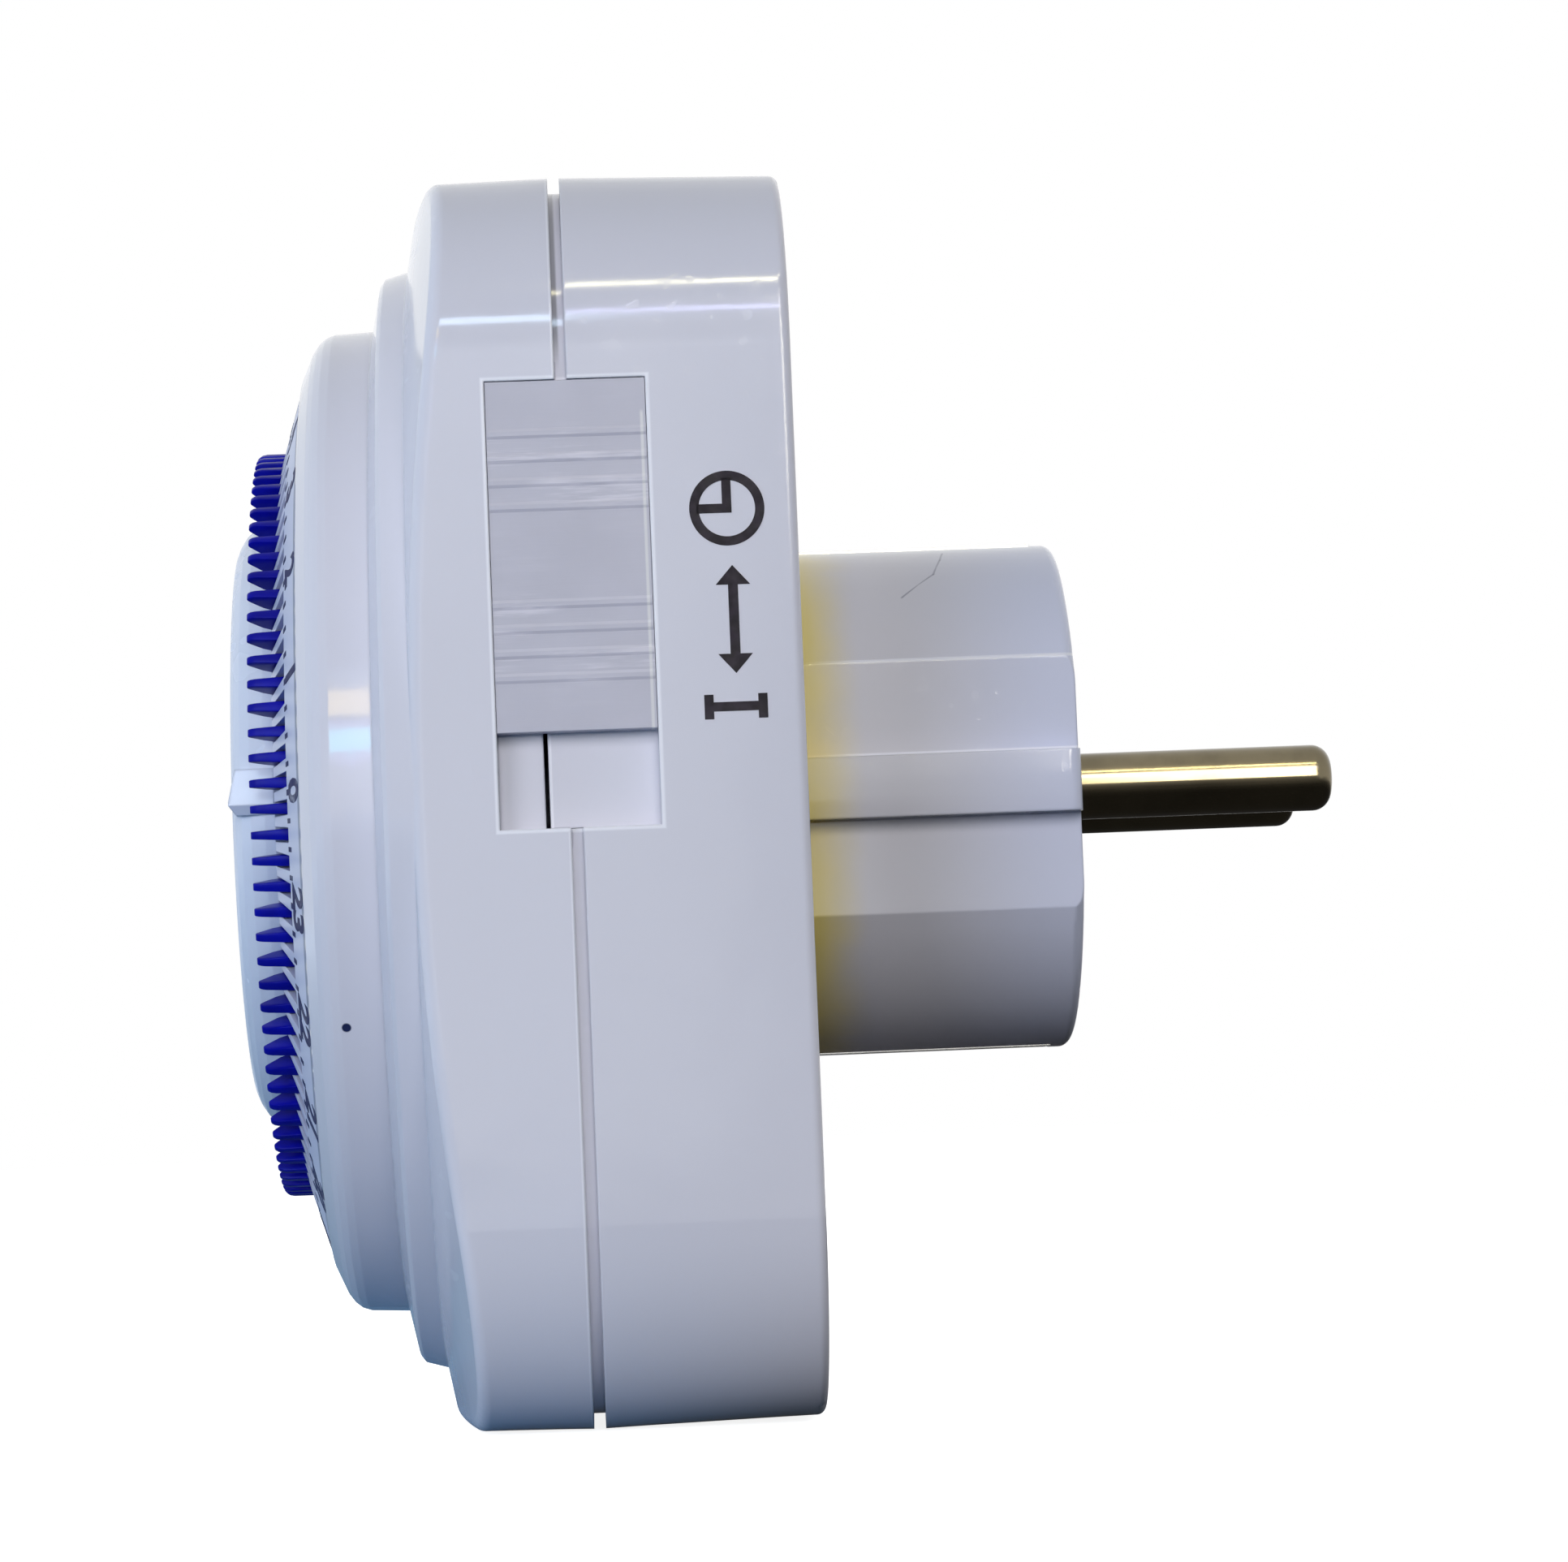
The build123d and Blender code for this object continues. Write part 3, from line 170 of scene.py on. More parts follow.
class DialSettings(bpy.types.PropertyGroup):
    """The turning dial and what is printed on it"""
    face: colour_setting("Face", "Colour of the dial", (0.47, 0.51, 0.66))
    ink: colour_setting("Ink", "Colour of the printed hours", (0.012, 0.018, 0.075))
    digit_height: length_setting("Digit height", "Height of the hour numbers", 2.5 * MM)
    digit_radius: length_setting("Digit radius", "Radius of the middle of the numbers", 31.1 * MM)
    tick_start: length_setting("Tick start", "Inner end of the printed ticks", 29.5 * MM)
    tick_end: length_setting("Tick end", "Outer end of the short ticks", 30.15 * MM)
    print_lift: length_setting("Print lift", "Thickness of the printed ink", 0.03 * MM)


class SegmentSettings(bpy.types.PropertyGroup):
    """The blue quarter-hour segments"""
    plastic: colour_setting("Plastic", "Colour of the segments", (0.002, 0.003, 0.26))
    thickness: length_setting("Thickness", "Thickness at the foot", 0.85 * MM)
    tip_share: share_setting("Tip share", "Thickness at the tip, as a share of the foot's", 0.6)
    edge: length_setting("Edge", "Rounding of the edges", 0.09 * MM)


class SlideSettings(bpy.types.PropertyGroup):
    """The milky override slide"""
    plastic: colour_setting("Plastic", "Colour of the slide", (0.495, 0.485, 0.565))
    ribs: IntProperty(name="Ribs", description="Grip ribs in each of the two groups", min=1,
                      default=4)
    rib_pitch: length_setting("Rib pitch", "Distance between ribs", 1.63 * MM)
    rib_height: length_setting("Rib height", "Height of a rib", 0.05 * MM)
    edge: length_setting("Edge", "Rounding of the edges", 0.04 * MM)


class PrintSettings(bpy.types.PropertyGroup):
    """The symbols beside the slide"""
    ink: colour_setting("Ink", "Colour of the printed symbols", (0.012, 0.009, 0.014))
    stroke: length_setting("Stroke", "Width of the printed lines", 0.62 * MM)
    lift: length_setting("Lift", "Thickness of the printed ink", 0.03 * MM)
    clock_radius: length_setting("Clock radius", "Outer radius of the clock symbol", 2.5 * MM)


class MetalSettings(bpy.types.PropertyGroup):
    """Pins, contacts, motor and screws"""
    # Painted shade: the pin colour is far darker than nickel, to stand in for dark surroundings in
    # the pins' reflections.
    pin: colour_setting("Pin", "Colour of the nickel plated pins", (0.20, 0.17, 0.11))
    brass: colour_setting("Brass", "Colour of the contacts and straps", (0.62, 0.43, 0.16))
    nickel: colour_setting("Nickel", "Colour of the earth straps", (0.60, 0.59, 0.56))
    steel: colour_setting("Steel", "Colour of the zinc plated steel", (0.50, 0.51, 0.53))
    copper: colour_setting("Copper", "Colour of the winding", (0.55, 0.20, 0.07))


class StageSettings(bpy.types.PropertyGroup):
    """Camera, floor and lights"""
    lens: FloatProperty(name="Lens", description="Focal length of the camera", unit="CAMERA",
                        default=111.23)
    key_light: FloatProperty(name="Soft lights", min=0.0, default=1.0,
                             description="Level of the soft lights round the object")
    line_light: FloatProperty(name="Highlights", min=0.0, default=1.0,
                              description="Level of the lights seen as highlights")
    surround: share_setting("Surround", "Level of the surrounding light", 0.12)


# ================================================================================================
# Modelling helpers
# ================================================================================================
def clear_selection():
    """Goes back to object mode with nothing selected."""
    if bpy.context.mode != "OBJECT":
        bpy.ops.object.mode_set(mode="OBJECT")
    bpy.ops.object.select_all(action="DESELECT")


def work_on(piece):
    """Makes one piece the only selected and active one."""
    clear_selection()
    piece.select_set(True)
    bpy.context.view_layer.objects.active = piece


def outline_face(name, points):
    """A flat face in the piece's own XY plane with its corners at these points."""
    clear_selection()
    bpy.ops.mesh.primitive_circle_add(vertices=len(points), radius=MM, fill_type="NGON")
    piece = bpy.context.active_object
    piece.name = name
    for corner, (a, b) in zip(piece.data.vertices, points):
        corner.co = (a, b, 0.0)
    return piece


def thicken(piece, height):
    """Extrudes a flat face straight up into a closed solid."""
    work_on(piece)
    bpy.ops.object.mode_set(mode="EDIT")
    bpy.ops.mesh.select_all(action="SELECT")
    bpy.ops.mesh.extrude_region_move(TRANSFORM_OT_translate={"value": (0.0, 0.0, height)})
    bpy.ops.mesh.select_all(action="SELECT")
    bpy.ops.mesh.normals_make_consistent(inside=False)
    bpy.ops.object.mode_set(mode="OBJECT")
    return piece


def face_outwards(piece):
    """Closes a piece's mesh and turns all of its faces outwards."""
    work_on(piece)
    bpy.ops.object.mode_set(mode="EDIT")
    bpy.ops.mesh.select_all(action="SELECT")
    bpy.ops.mesh.remove_doubles(threshold=WELD_DISTANCE)
    bpy.ops.mesh.normals_make_consistent(inside=False)
    bpy.ops.object.mode_set(mode="OBJECT")
    return piece


def place_mesh(piece, matrix):
    """Moves a piece's mesh, so that its object stays at the origin."""
    piece.data.transform(matrix)
    piece.data.update()
    return piece


def prism_along(name, axis, points, start, end):
    """A closed prism along an axis. Points are (y, z) for X and (x, z) for Y."""
    piece = thicken(outline_face(name, points), end - start)
    turns = {
        "X": Matrix(((0, 0, 1, start), (1, 0, 0, 0), (0, 1, 0, 0), (0, 0, 0, 1))),
        "Y": Matrix(((1, 0, 0, 0), (0, 0, 1, start), (0, 1, 0, 0), (0, 0, 0, 1))),
    }
    return face_outwards(place_mesh(piece, turns[axis]))


def block(name, across, along, up):
    """A box between two ends on each axis."""
    (front, rear), (bottom, top) = along, up
    corners = [(front, bottom), (rear, bottom), (rear, top), (front, top)]
    return prism_along(name, "X", corners, *across)


def round_edges(piece, width, angle=30.0, smooth=40.0):
    """Rounds the edges sharper than an angle, and smooths the shading over edges up to another."""
    bevel = piece.modifiers.new("edge_rounding", "BEVEL")
    bevel.width = width
    bevel.segments = 2
    bevel.limit_method = "ANGLE"
    bevel.angle_limit = math.radians(angle)
    work_on(piece)
    bpy.ops.object.modifier_apply(modifier=bevel.name)
    bpy.ops.object.shade_smooth_by_angle(angle=math.radians(smooth))


def joined(name, pieces):
    """Joins pieces into one with this name."""
    clear_selection()
    for piece in pieces:
        piece.select_set(True)
    bpy.context.view_layer.objects.active = pieces[0]
    if len(pieces) > 1:
        bpy.ops.object.join()
    pieces[0].name = name
    pieces[0].data.name = name
    return pieces[0]


def twin(piece, name):
    """A copy of a piece with its own mesh."""
    copy = piece.copy()
    copy.data = piece.data.copy()
    copy.name = name
    bpy.context.scene.collection.objects.link(copy)
    return copy


def finish_piece(piece, body, material, replaces=()):
    """Gives a piece its finish, and the body that it moves with."""
    piece.data.materials.clear()
    piece.data.materials.append(material)
    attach(piece, body)
    if replaces:
        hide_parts(*replaces)


def paint_nodes(material, *names):
    """Gives nodes of the frame a finish. Their meshes stay as they are."""
    for name in names:
        node = NODES[name]
        for index in range(len(node.data.materials)):
            node.data.materials[index] = material
        if not node.data.materials:
            node.data.materials.append(material)


# ================================================================================================
# Material helpers
# ================================================================================================
class Finish:
    """A new material with one main shader, and short names for the nodes that feed it."""

    def __init__(self, name):
        self.material = bpy.data.materials.new(name)
        self.material.use_nodes = True
        self.tree = self.material.node_tree
        self.tree.nodes.clear()
        self.output = self.add("ShaderNodeOutputMaterial")
        self.shader = self.add("ShaderNodeBsdfPrincipled")
        self.link(self.shader.outputs["BSDF"], self.output.inputs["Surface"])
        self.here = self.add("ShaderNodeTexCoord").outputs["Object"]

    def add(self, kind, **values):
        node = self.tree.nodes.new(kind)
        for key, value in values.items():
            setattr(node, key, value)
        return node

    def link(self, source, target):
        self.tree.links.new(source, target)

    def feed(self, socket, value):
        """Links a socket to another's output, or sets its number or colour."""
        if isinstance(value, bpy.types.NodeSocket):
            self.link(value, socket)
        elif hasattr(value, "__len__") and len(value) == 3 and socket.type == "RGBA":
            socket.default_value = (*value, 1.0)
        else:
            socket.default_value = value

    def mapped(self, scale=(1, 1, 1), turn=(0, 0, 0)):
        """The place being shaded, stretched by a scale and turned."""
        node = self.add("ShaderNodeMapping")
        self.link(self.here, node.inputs["Vector"])
        node.inputs["Scale"].default_value = scale
        node.inputs["Rotation"].default_value = turn
        return node.outputs["Vector"]

    def noise(self, scale, detail=2.0, roughness=0.5, vector=None):
        node = self.add("ShaderNodeTexNoise")
        self.link(vector or self.here, node.inputs["Vector"])
        node.inputs["Scale"].default_value = scale
        node.inputs["Detail"].default_value = detail
        node.inputs["Roughness"].default_value = roughness
        return node.outputs["Fac"]

    def cells(self, scale):
        """Distance to the nearest of many scattered points."""
        node = self.add("ShaderNodeTexVoronoi")
        self.link(self.here, node.inputs["Vector"])
        node.inputs["Scale"].default_value = scale
        return node.outputs["Distance"]

    def bands(self, scale, direction, distortion):
        node = self.add("ShaderNodeTexWave", wave_type="BANDS", bands_direction=direction)
        self.link(self.here, node.inputs["Vector"])
        node.inputs["Scale"].default_value = scale
        node.inputs["Distortion"].default_value = distortion
        return node.outputs["Fac"]

    def span(self, value, low, high, to_low=0.0, to_high=1.0, smooth=True):
        """Maps low..high of a value to to_low..to_high, and holds it outside."""
        node = self.add("ShaderNodeMapRange",
                        interpolation_type="SMOOTHSTEP" if smooth else "LINEAR")
        node.clamp = True
        self.link(value, node.inputs["Value"])
        node.inputs["From Min"].default_value = low
        node.inputs["From Max"].default_value = high
        node.inputs["To Min"].default_value = to_low
        node.inputs["To Max"].default_value = to_high
        return node.outputs["Result"]

    def maths(self, operation, a, b=None):
        node = self.add("ShaderNodeMath", operation=operation)
        self.feed(node.inputs[0], a)
        if b is not None:
            self.feed(node.inputs[1], b)
        return node.outputs["Value"]

    def times(self, product, *factors):
        """Several values multiplied."""
        for factor in factors:
            product = self.maths("MULTIPLY", product, factor)
        return product

    def off(self, value, level):
        """How far a value is from a level, either way."""
        return self.maths("ABSOLUTE", self.maths("SUBTRACT", value, level))

    def vector_maths(self, operation, vector, other=None):
        """An operation on a vector. Its result is its Vector or its Value output."""
        node = self.add("ShaderNodeVectorMath", operation=operation)
        self.link(vector, node.inputs[0])
        if other is not None:
            node.inputs[1].default_value = other
        return node

    def patchy(self, scale, low, high):
        """A value that wanders between two levels, for a roughness."""
        return self.span(self.noise(scale), 0.3, 0.7, low, high)

    def axes(self):
        """The X, Y and Z of the point being shaded."""
        node = self.add("ShaderNodeSeparateXYZ")
        self.link(self.here, node.inputs["Vector"])
        return node.outputs["X"], node.outputs["Y"], node.outputs["Z"]

    def blend(self, factor, first, second):
        node = self.add("ShaderNodeMix", data_type="RGBA")
        self.feed(node.inputs["Factor"], factor)
        self.feed(node.inputs["A"], first)
        self.feed(node.inputs["B"], second)
        return node.outputs["Result"]

    def set(self, **values):
        """Sets sockets of the main shader, with _ for a space in their names."""
        for key, value in values.items():
            self.feed(self.shader.inputs[key.replace("_", " ")], value)

    def base_colour(self):
        """The colour that is linked to the main shader so far."""
        return self.shader.inputs["Base Color"].links[0].from_socket

    def surface(self, height=None, distance=0.0, edge=0.0):
        """Gives the shader a fine relief, over edges that read as rounded."""
        normal = None
        if edge:
            node = self.add("ShaderNodeBevel", samples=6)
            node.inputs["Radius"].default_value = edge
            normal = node.outputs["Normal"]
        if height is not None:
            node = self.add("ShaderNodeBump")
            node.inputs["Strength"].default_value = 1.0
            node.inputs["Distance"].default_value = distance
            self.link(height, node.inputs["Height"])
            if normal is not None:
                self.link(normal, node.inputs["Normal"])
            normal = node.outputs["Normal"]
        if normal is not None:
            self.link(normal, self.shader.inputs["Normal"])


def shade_of(colour, level):
    """A colour made darker or lighter."""
    return tuple(min(1.0, part * level) for part in colour)


def clouded(finish, colour, spread=0.03, scale=22.0):
    """A colour with the faint unevenness of moulded plastic."""
    cloud = finish.span(finish.noise(scale, detail=3.0), 0.2, 0.8, smooth=False)
    return finish.blend(cloud, shade_of(colour, 1 - spread), shade_of(colour, 1 + spread))


def specked(finish, base, speck, scale=70.0, radius=0.10 * MM):
    """Adds a few tiny dark specks of dust to a colour, in patches wider than their spacing."""
    near = finish.span(finish.cells(scale), radius * scale * 0.5, radius * scale, 1.0, 0.0)
    some = finish.span(finish.noise(scale * 0.31, detail=0.0), *SPECKED_PATCH)
    return finish.blend(finish.times(near, some), base, speck)


def scratched(finish, turn, scale=(25, 900, 900)):
    """Sparse fine scratches, as a value from 0 to 1."""
    streaks = finish.noise(1.0, detail=1.0, vector=finish.mapped(scale=scale, turn=turn))
    patches = finish.span(finish.noise(90.0, detail=1.0), *SCRATCHED_PATCH)
    return finish.times(finish.span(streaks, *SCRATCH_CREST), patches)


def spot(finish, place, radius):
    """A small round mark at a place, as a value from 0 to 1."""
    away = finish.vector_maths("DISTANCE", finish.here, place)
    return finish.span(away.outputs["Value"], radius * 0.7, radius, 1.0, 0.0)


def line_at(finish, value, level, half):
    """A thin line where a value is at a level, as a value from 0 to 1."""
    return finish.span(finish.off(value, level), half * SOFT_EDGE, half, 1.0, 0.0)


def stroke(finish, start, end, half):
    """A fine straight mark between two places, as a value from 0 to 1."""
    way = Vector(end) - Vector(start)
    away = finish.vector_maths("SUBTRACT", finish.here, start).outputs["Vector"]
    aside = finish.vector_maths("CROSS_PRODUCT", away, way.normalized()).outputs["Vector"]
    off = finish.vector_maths("LENGTH", aside).outputs["Value"]
    reach = finish.vector_maths("DOT_PRODUCT", away, way.normalized()).outputs["Value"]
    fade = 2.0 * half
    return finish.times(finish.span(off, half * SOFT_EDGE, half, 1.0, 0.0),
                        finish.span(reach, -fade, 0.0),
                        finish.span(reach, way.length, way.length + fade, 1.0, 0.0))


def cover_plastic(name, settings):
    """Glossy moulded plastic of the covers: faint clouding, dust specks, scratches and waves."""
    finish = Finish(name)
    colour = clouded(finish, settings.plastic)
    colour = specked(finish, colour, COVER_DUST)
    scratches = scratched(finish, (0.3, 0.5, 0.9))
    fine = finish.noise(1500.0, detail=2.0)
    smear = finish.noise(45.0, detail=4.0, roughness=0.65)
    rough = finish.span(smear, 0.3, 0.75, settings.roughness - 0.03, settings.roughness + 0.04)
    rough = finish.maths("ADD", rough, finish.times(scratches, 0.06))
    finish.set(Base_Color=colour, Roughness=rough, IOR=1.5, Specular_IOR_Level=0.4)
    waves = finish.times(finish.noise(170.0, detail=1.0), COVER_WAVES)
    relief = finish.maths("ADD", waves, finish.maths("SUBTRACT", fine, scratches))
    finish.surface(relief, COVER_RELIEF, edge=settings.edge)
    return finish


def burnished(finish, colour, burnish):
    """Paints highlights on a cover's edges round the side slot, along the seam and beside the split
    on the slot's floor.
    """
    across, along, up = finish.axes()
    beyond = finish.maths("MAXIMUM",
                          finish.maths("SUBTRACT", finish.off(along, SLOT_MIDDLE_Y), SLOT_HALF_Y),
                          finish.maths("SUBTRACT", finish.off(up, SLOT_MIDDLE_Z), SLOT_HALF_Z))
    in_slot = finish.span(beyond, -0.1 * MM, 0.0, 1.0, 0.0)
    past_slot = finish.span(beyond, 0.0, 0.1 * MM)
    on_side = finish.span(across, *SIDE_FROM_X)
    on_floor = finish.span(across, *SLOT_FLOOR_FROM_X)

    # Painted highlights: pale lines on the slot's rim, along the seam and beside the split on the
    # slot's floor.
    rim = finish.span(beyond, *RIM_FADE, 0.85, 0.0)
    from_seam = finish.off(along, FRONT_EDGE_Y - 0.08 * MM)
    seam_line = finish.times(finish.span(from_seam, *SEAM_FADE, 0.5, 0.0), past_slot)
    from_split = finish.off(along, SPLIT_EDGE_Y + 0.1 * MM)
    split_line = finish.times(finish.span(from_split, *SPLIT_FADE, 0.7, 0.0), in_slot)
    pale = finish.maths("MAXIMUM", finish.times(rim, on_side), seam_line)
    pale = finish.maths("MAXIMUM", pale, finish.times(split_line, on_floor))
    return finish.blend(pale, colour, burnish)


def metal(name, colour, roughness, brush, grain=0.004 * MM, tarnish=0.75):
    """Bare or plated metal, brushed along the axis that has the smallest scale."""
    finish = Finish(name)
    lines = finish.noise(1.0, detail=3.0, roughness=0.7, vector=finish.mapped(scale=brush))
    patches = finish.span(finish.noise(160.0, detail=4.0, roughness=0.65), 0.40, 0.68)
    tone = finish.blend(patches, colour, shade_of(colour, tarnish))
    finish.set(Base_Color=tone, Metallic=1.0)
    finish.set(Roughness=finish.span(lines, 0.3, 0.7, roughness * 0.75, roughness * 1.35))
    finish.surface(lines, grain, edge=METAL_EDGE)
    return finish.material


# ================================================================================================
# Operators: the covers and the outlet
# ================================================================================================
class TIMER_OT_covers(bpy.types.Operator):
    """Finish the front cover and the rear housing with its plug body"""
    bl_idname = "timer.covers"
    bl_label = "Covers"
    SPECK = (32.4 * MM, -51.95 * MM, -15.84 * MM)
    SPECK_RADIUS = 0.38 * MM
    SPECK_COLOUR = (0.012, 0.016, 0.07)
    SCRATCH = ((12.40 * MM, -11.85 * MM, 14.00 * MM), (9.92 * MM, -9.35 * MM, 15.84 * MM),
               (7.49 * MM, -8.65 * MM, 17.13 * MM), (5.60 * MM, -8.30 * MM, 17.83 * MM))
    SCRATCH_HALF = 0.11 * MM
    SCRATCH_COLOUR = (0.16, 0.16, 0.22)
    RUBBED_HALF = 0.16 * MM
    YELLOW_FULL = 1.8 * MM
    YELLOW_FADE = 2.4 * MM
    YELLOW_WANDER = 0.6         # how far its edge wanders, as a share of its reach
    COOL_GREY = (0.63, 0.67, 0.86)
    GROOVE_SHADE = (0.20, 0.20, 0.22)

    def execute(self, context):
        settings = context.scene.timer_housing
        front = cover_plastic("cover_plastic", settings)
        # Painted highlights on the edges round the slot and along the seam.
        shell = burnished(front, front.base_colour(), settings.burnish)
        # One speck of dirt sits low on the bezel.
        speck = spot(front, self.SPECK, self.SPECK_RADIUS)
        front.set(Base_Color=front.blend(speck, shell, self.SPECK_COLOUR))
        paint_nodes(front.material, "front_cover")

        rear = cover_plastic("rear_plastic", settings)
        # Painted highlights on the edges round the slot and along the seam.
        body = burnished(rear, rear.base_colour(), settings.burnish)
        _, along, up = rear.axes()
        # Painted shade: the upper part of the seam groove is darkened along its front half.
        groove = rear.times(rear.span(up, *GROOVE_DARK_FROM_Z),
                            rear.span(along, *GROOVE_DARK_TO_Y, 0.75, 0.0))
        body = rear.blend(groove, body, self.GROOVE_SHADE)
        # The plug body is a greyer moulding, yellowed where it meets the housing.
        on_plug = rear.span(along, *PLUG_FROM_Y)
        tone = rear.blend(on_plug, body, self.plug_grey(rear, settings))
        reach = settings.yellow_reach
        wander = rear.times(rear.noise(120.0, detail=3.0), reach * self.YELLOW_WANDER)
        faded = rear.span(rear.maths("ADD", along, wander), PLUG_BASE_Y + self.YELLOW_FULL,
                          PLUG_BASE_Y + reach + self.YELLOW_FADE)
        yellow = rear.times(rear.maths("SUBTRACT", 1.0, faded), on_plug)
        rear.set(Base_Color=rear.blend(yellow, tone, settings.yellowing))
        paint_nodes(rear.material, "rear_housing")
        return {"FINISHED"}

    def plug_grey(self, finish, settings):
        """The plug body's colour, with painted highlights along the flat's edges and its scratch.
        """
        across, along, up = finish.axes()
        grey = clouded(finish, settings.plug_plastic, spread=0.02, scale=60.0)
        cooler = finish.span(along, *PLUG_COOLER_FROM_Y, 0.0, 0.7)
        grey = finish.blend(cooler, grey, self.COOL_GREY)
        # Painted highlights: the long edges of the flat are painted bright.
        highlighted = finish.maths("MAXIMUM", line_at(finish, up, FLAT_TOP_Z, self.RUBBED_HALF),
                              line_at(finish, up, RAIL_TOP_Z, self.RUBBED_HALF))
        highlighted = finish.times(highlighted, finish.span(across, *FLATS_FROM_X, 0.0, 0.75))
        grey = finish.blend(highlighted, grey, settings.burnish)
        # One scratch runs over the round above them.
        for start, end in zip(self.SCRATCH, self.SCRATCH[1:]):
            mark = finish.times(stroke(finish, start, end, self.SCRATCH_HALF), 0.6)
            grey = finish.blend(mark, grey, self.SCRATCH_COLOUR)
        return grey


class TIMER_OT_socket_insert(bpy.types.Operator):
    """Finish the round outlet insert in the middle of the dial"""
    bl_idname = "timer.socket_insert"
    bl_label = "Socket insert"

    def execute(self, context):
        settings = context.scene.timer_insert
        finish = Finish("insert_plastic")
        colour = clouded(finish, settings.plastic, spread=0.025, scale=35.0)
        colour = specked(finish, colour, (0.10, 0.11, 0.14), scale=110.0, radius=0.07 * MM)
        scratches = scratched(finish, (0.2, 0.9, 0.1), scale=(40, 700, 700))
        smear = finish.noise(60.0, detail=4.0, roughness=0.6)
        rough = finish.span(smear, 0.3, 0.75, settings.roughness - 0.04, settings.roughness + 0.1)
        rough = finish.maths("ADD", rough, finish.times(scratches, 0.15))
        finish.set(Base_Color=colour, Roughness=rough, IOR=1.5)
        finish.surface(finish.noise(1700.0), 0.002 * MM, edge=0.2 * MM)
        paint_nodes(finish.material, "socket_insert")
        return {"FINISHED"}


# ================================================================================================
# Operators: the dial
# ================================================================================================
def cone_y(radius):
    """Level of the dial's face at a radius: a cone outside the segments, flat inside them."""
    return CONE_EDGE_Y - (CONE_EDGE - max(radius, BLADE_INNER)) * CONE_SLOPE


def lay_on_dial(piece, angle):
    """Wraps a flat print onto the dial. Its own Y points outwards and its Z is its thickness."""
    turn = Matrix.Rotation(angle - math.pi / 2, 4, "Z")
    piece.data.transform(turn)
    for point in piece.data.vertices:
        across, up, lift = point.co
        radius = math.hypot(across, up)
        point.co = (across, cone_y(radius) - lift, up)
    piece.data.update()
    return piece


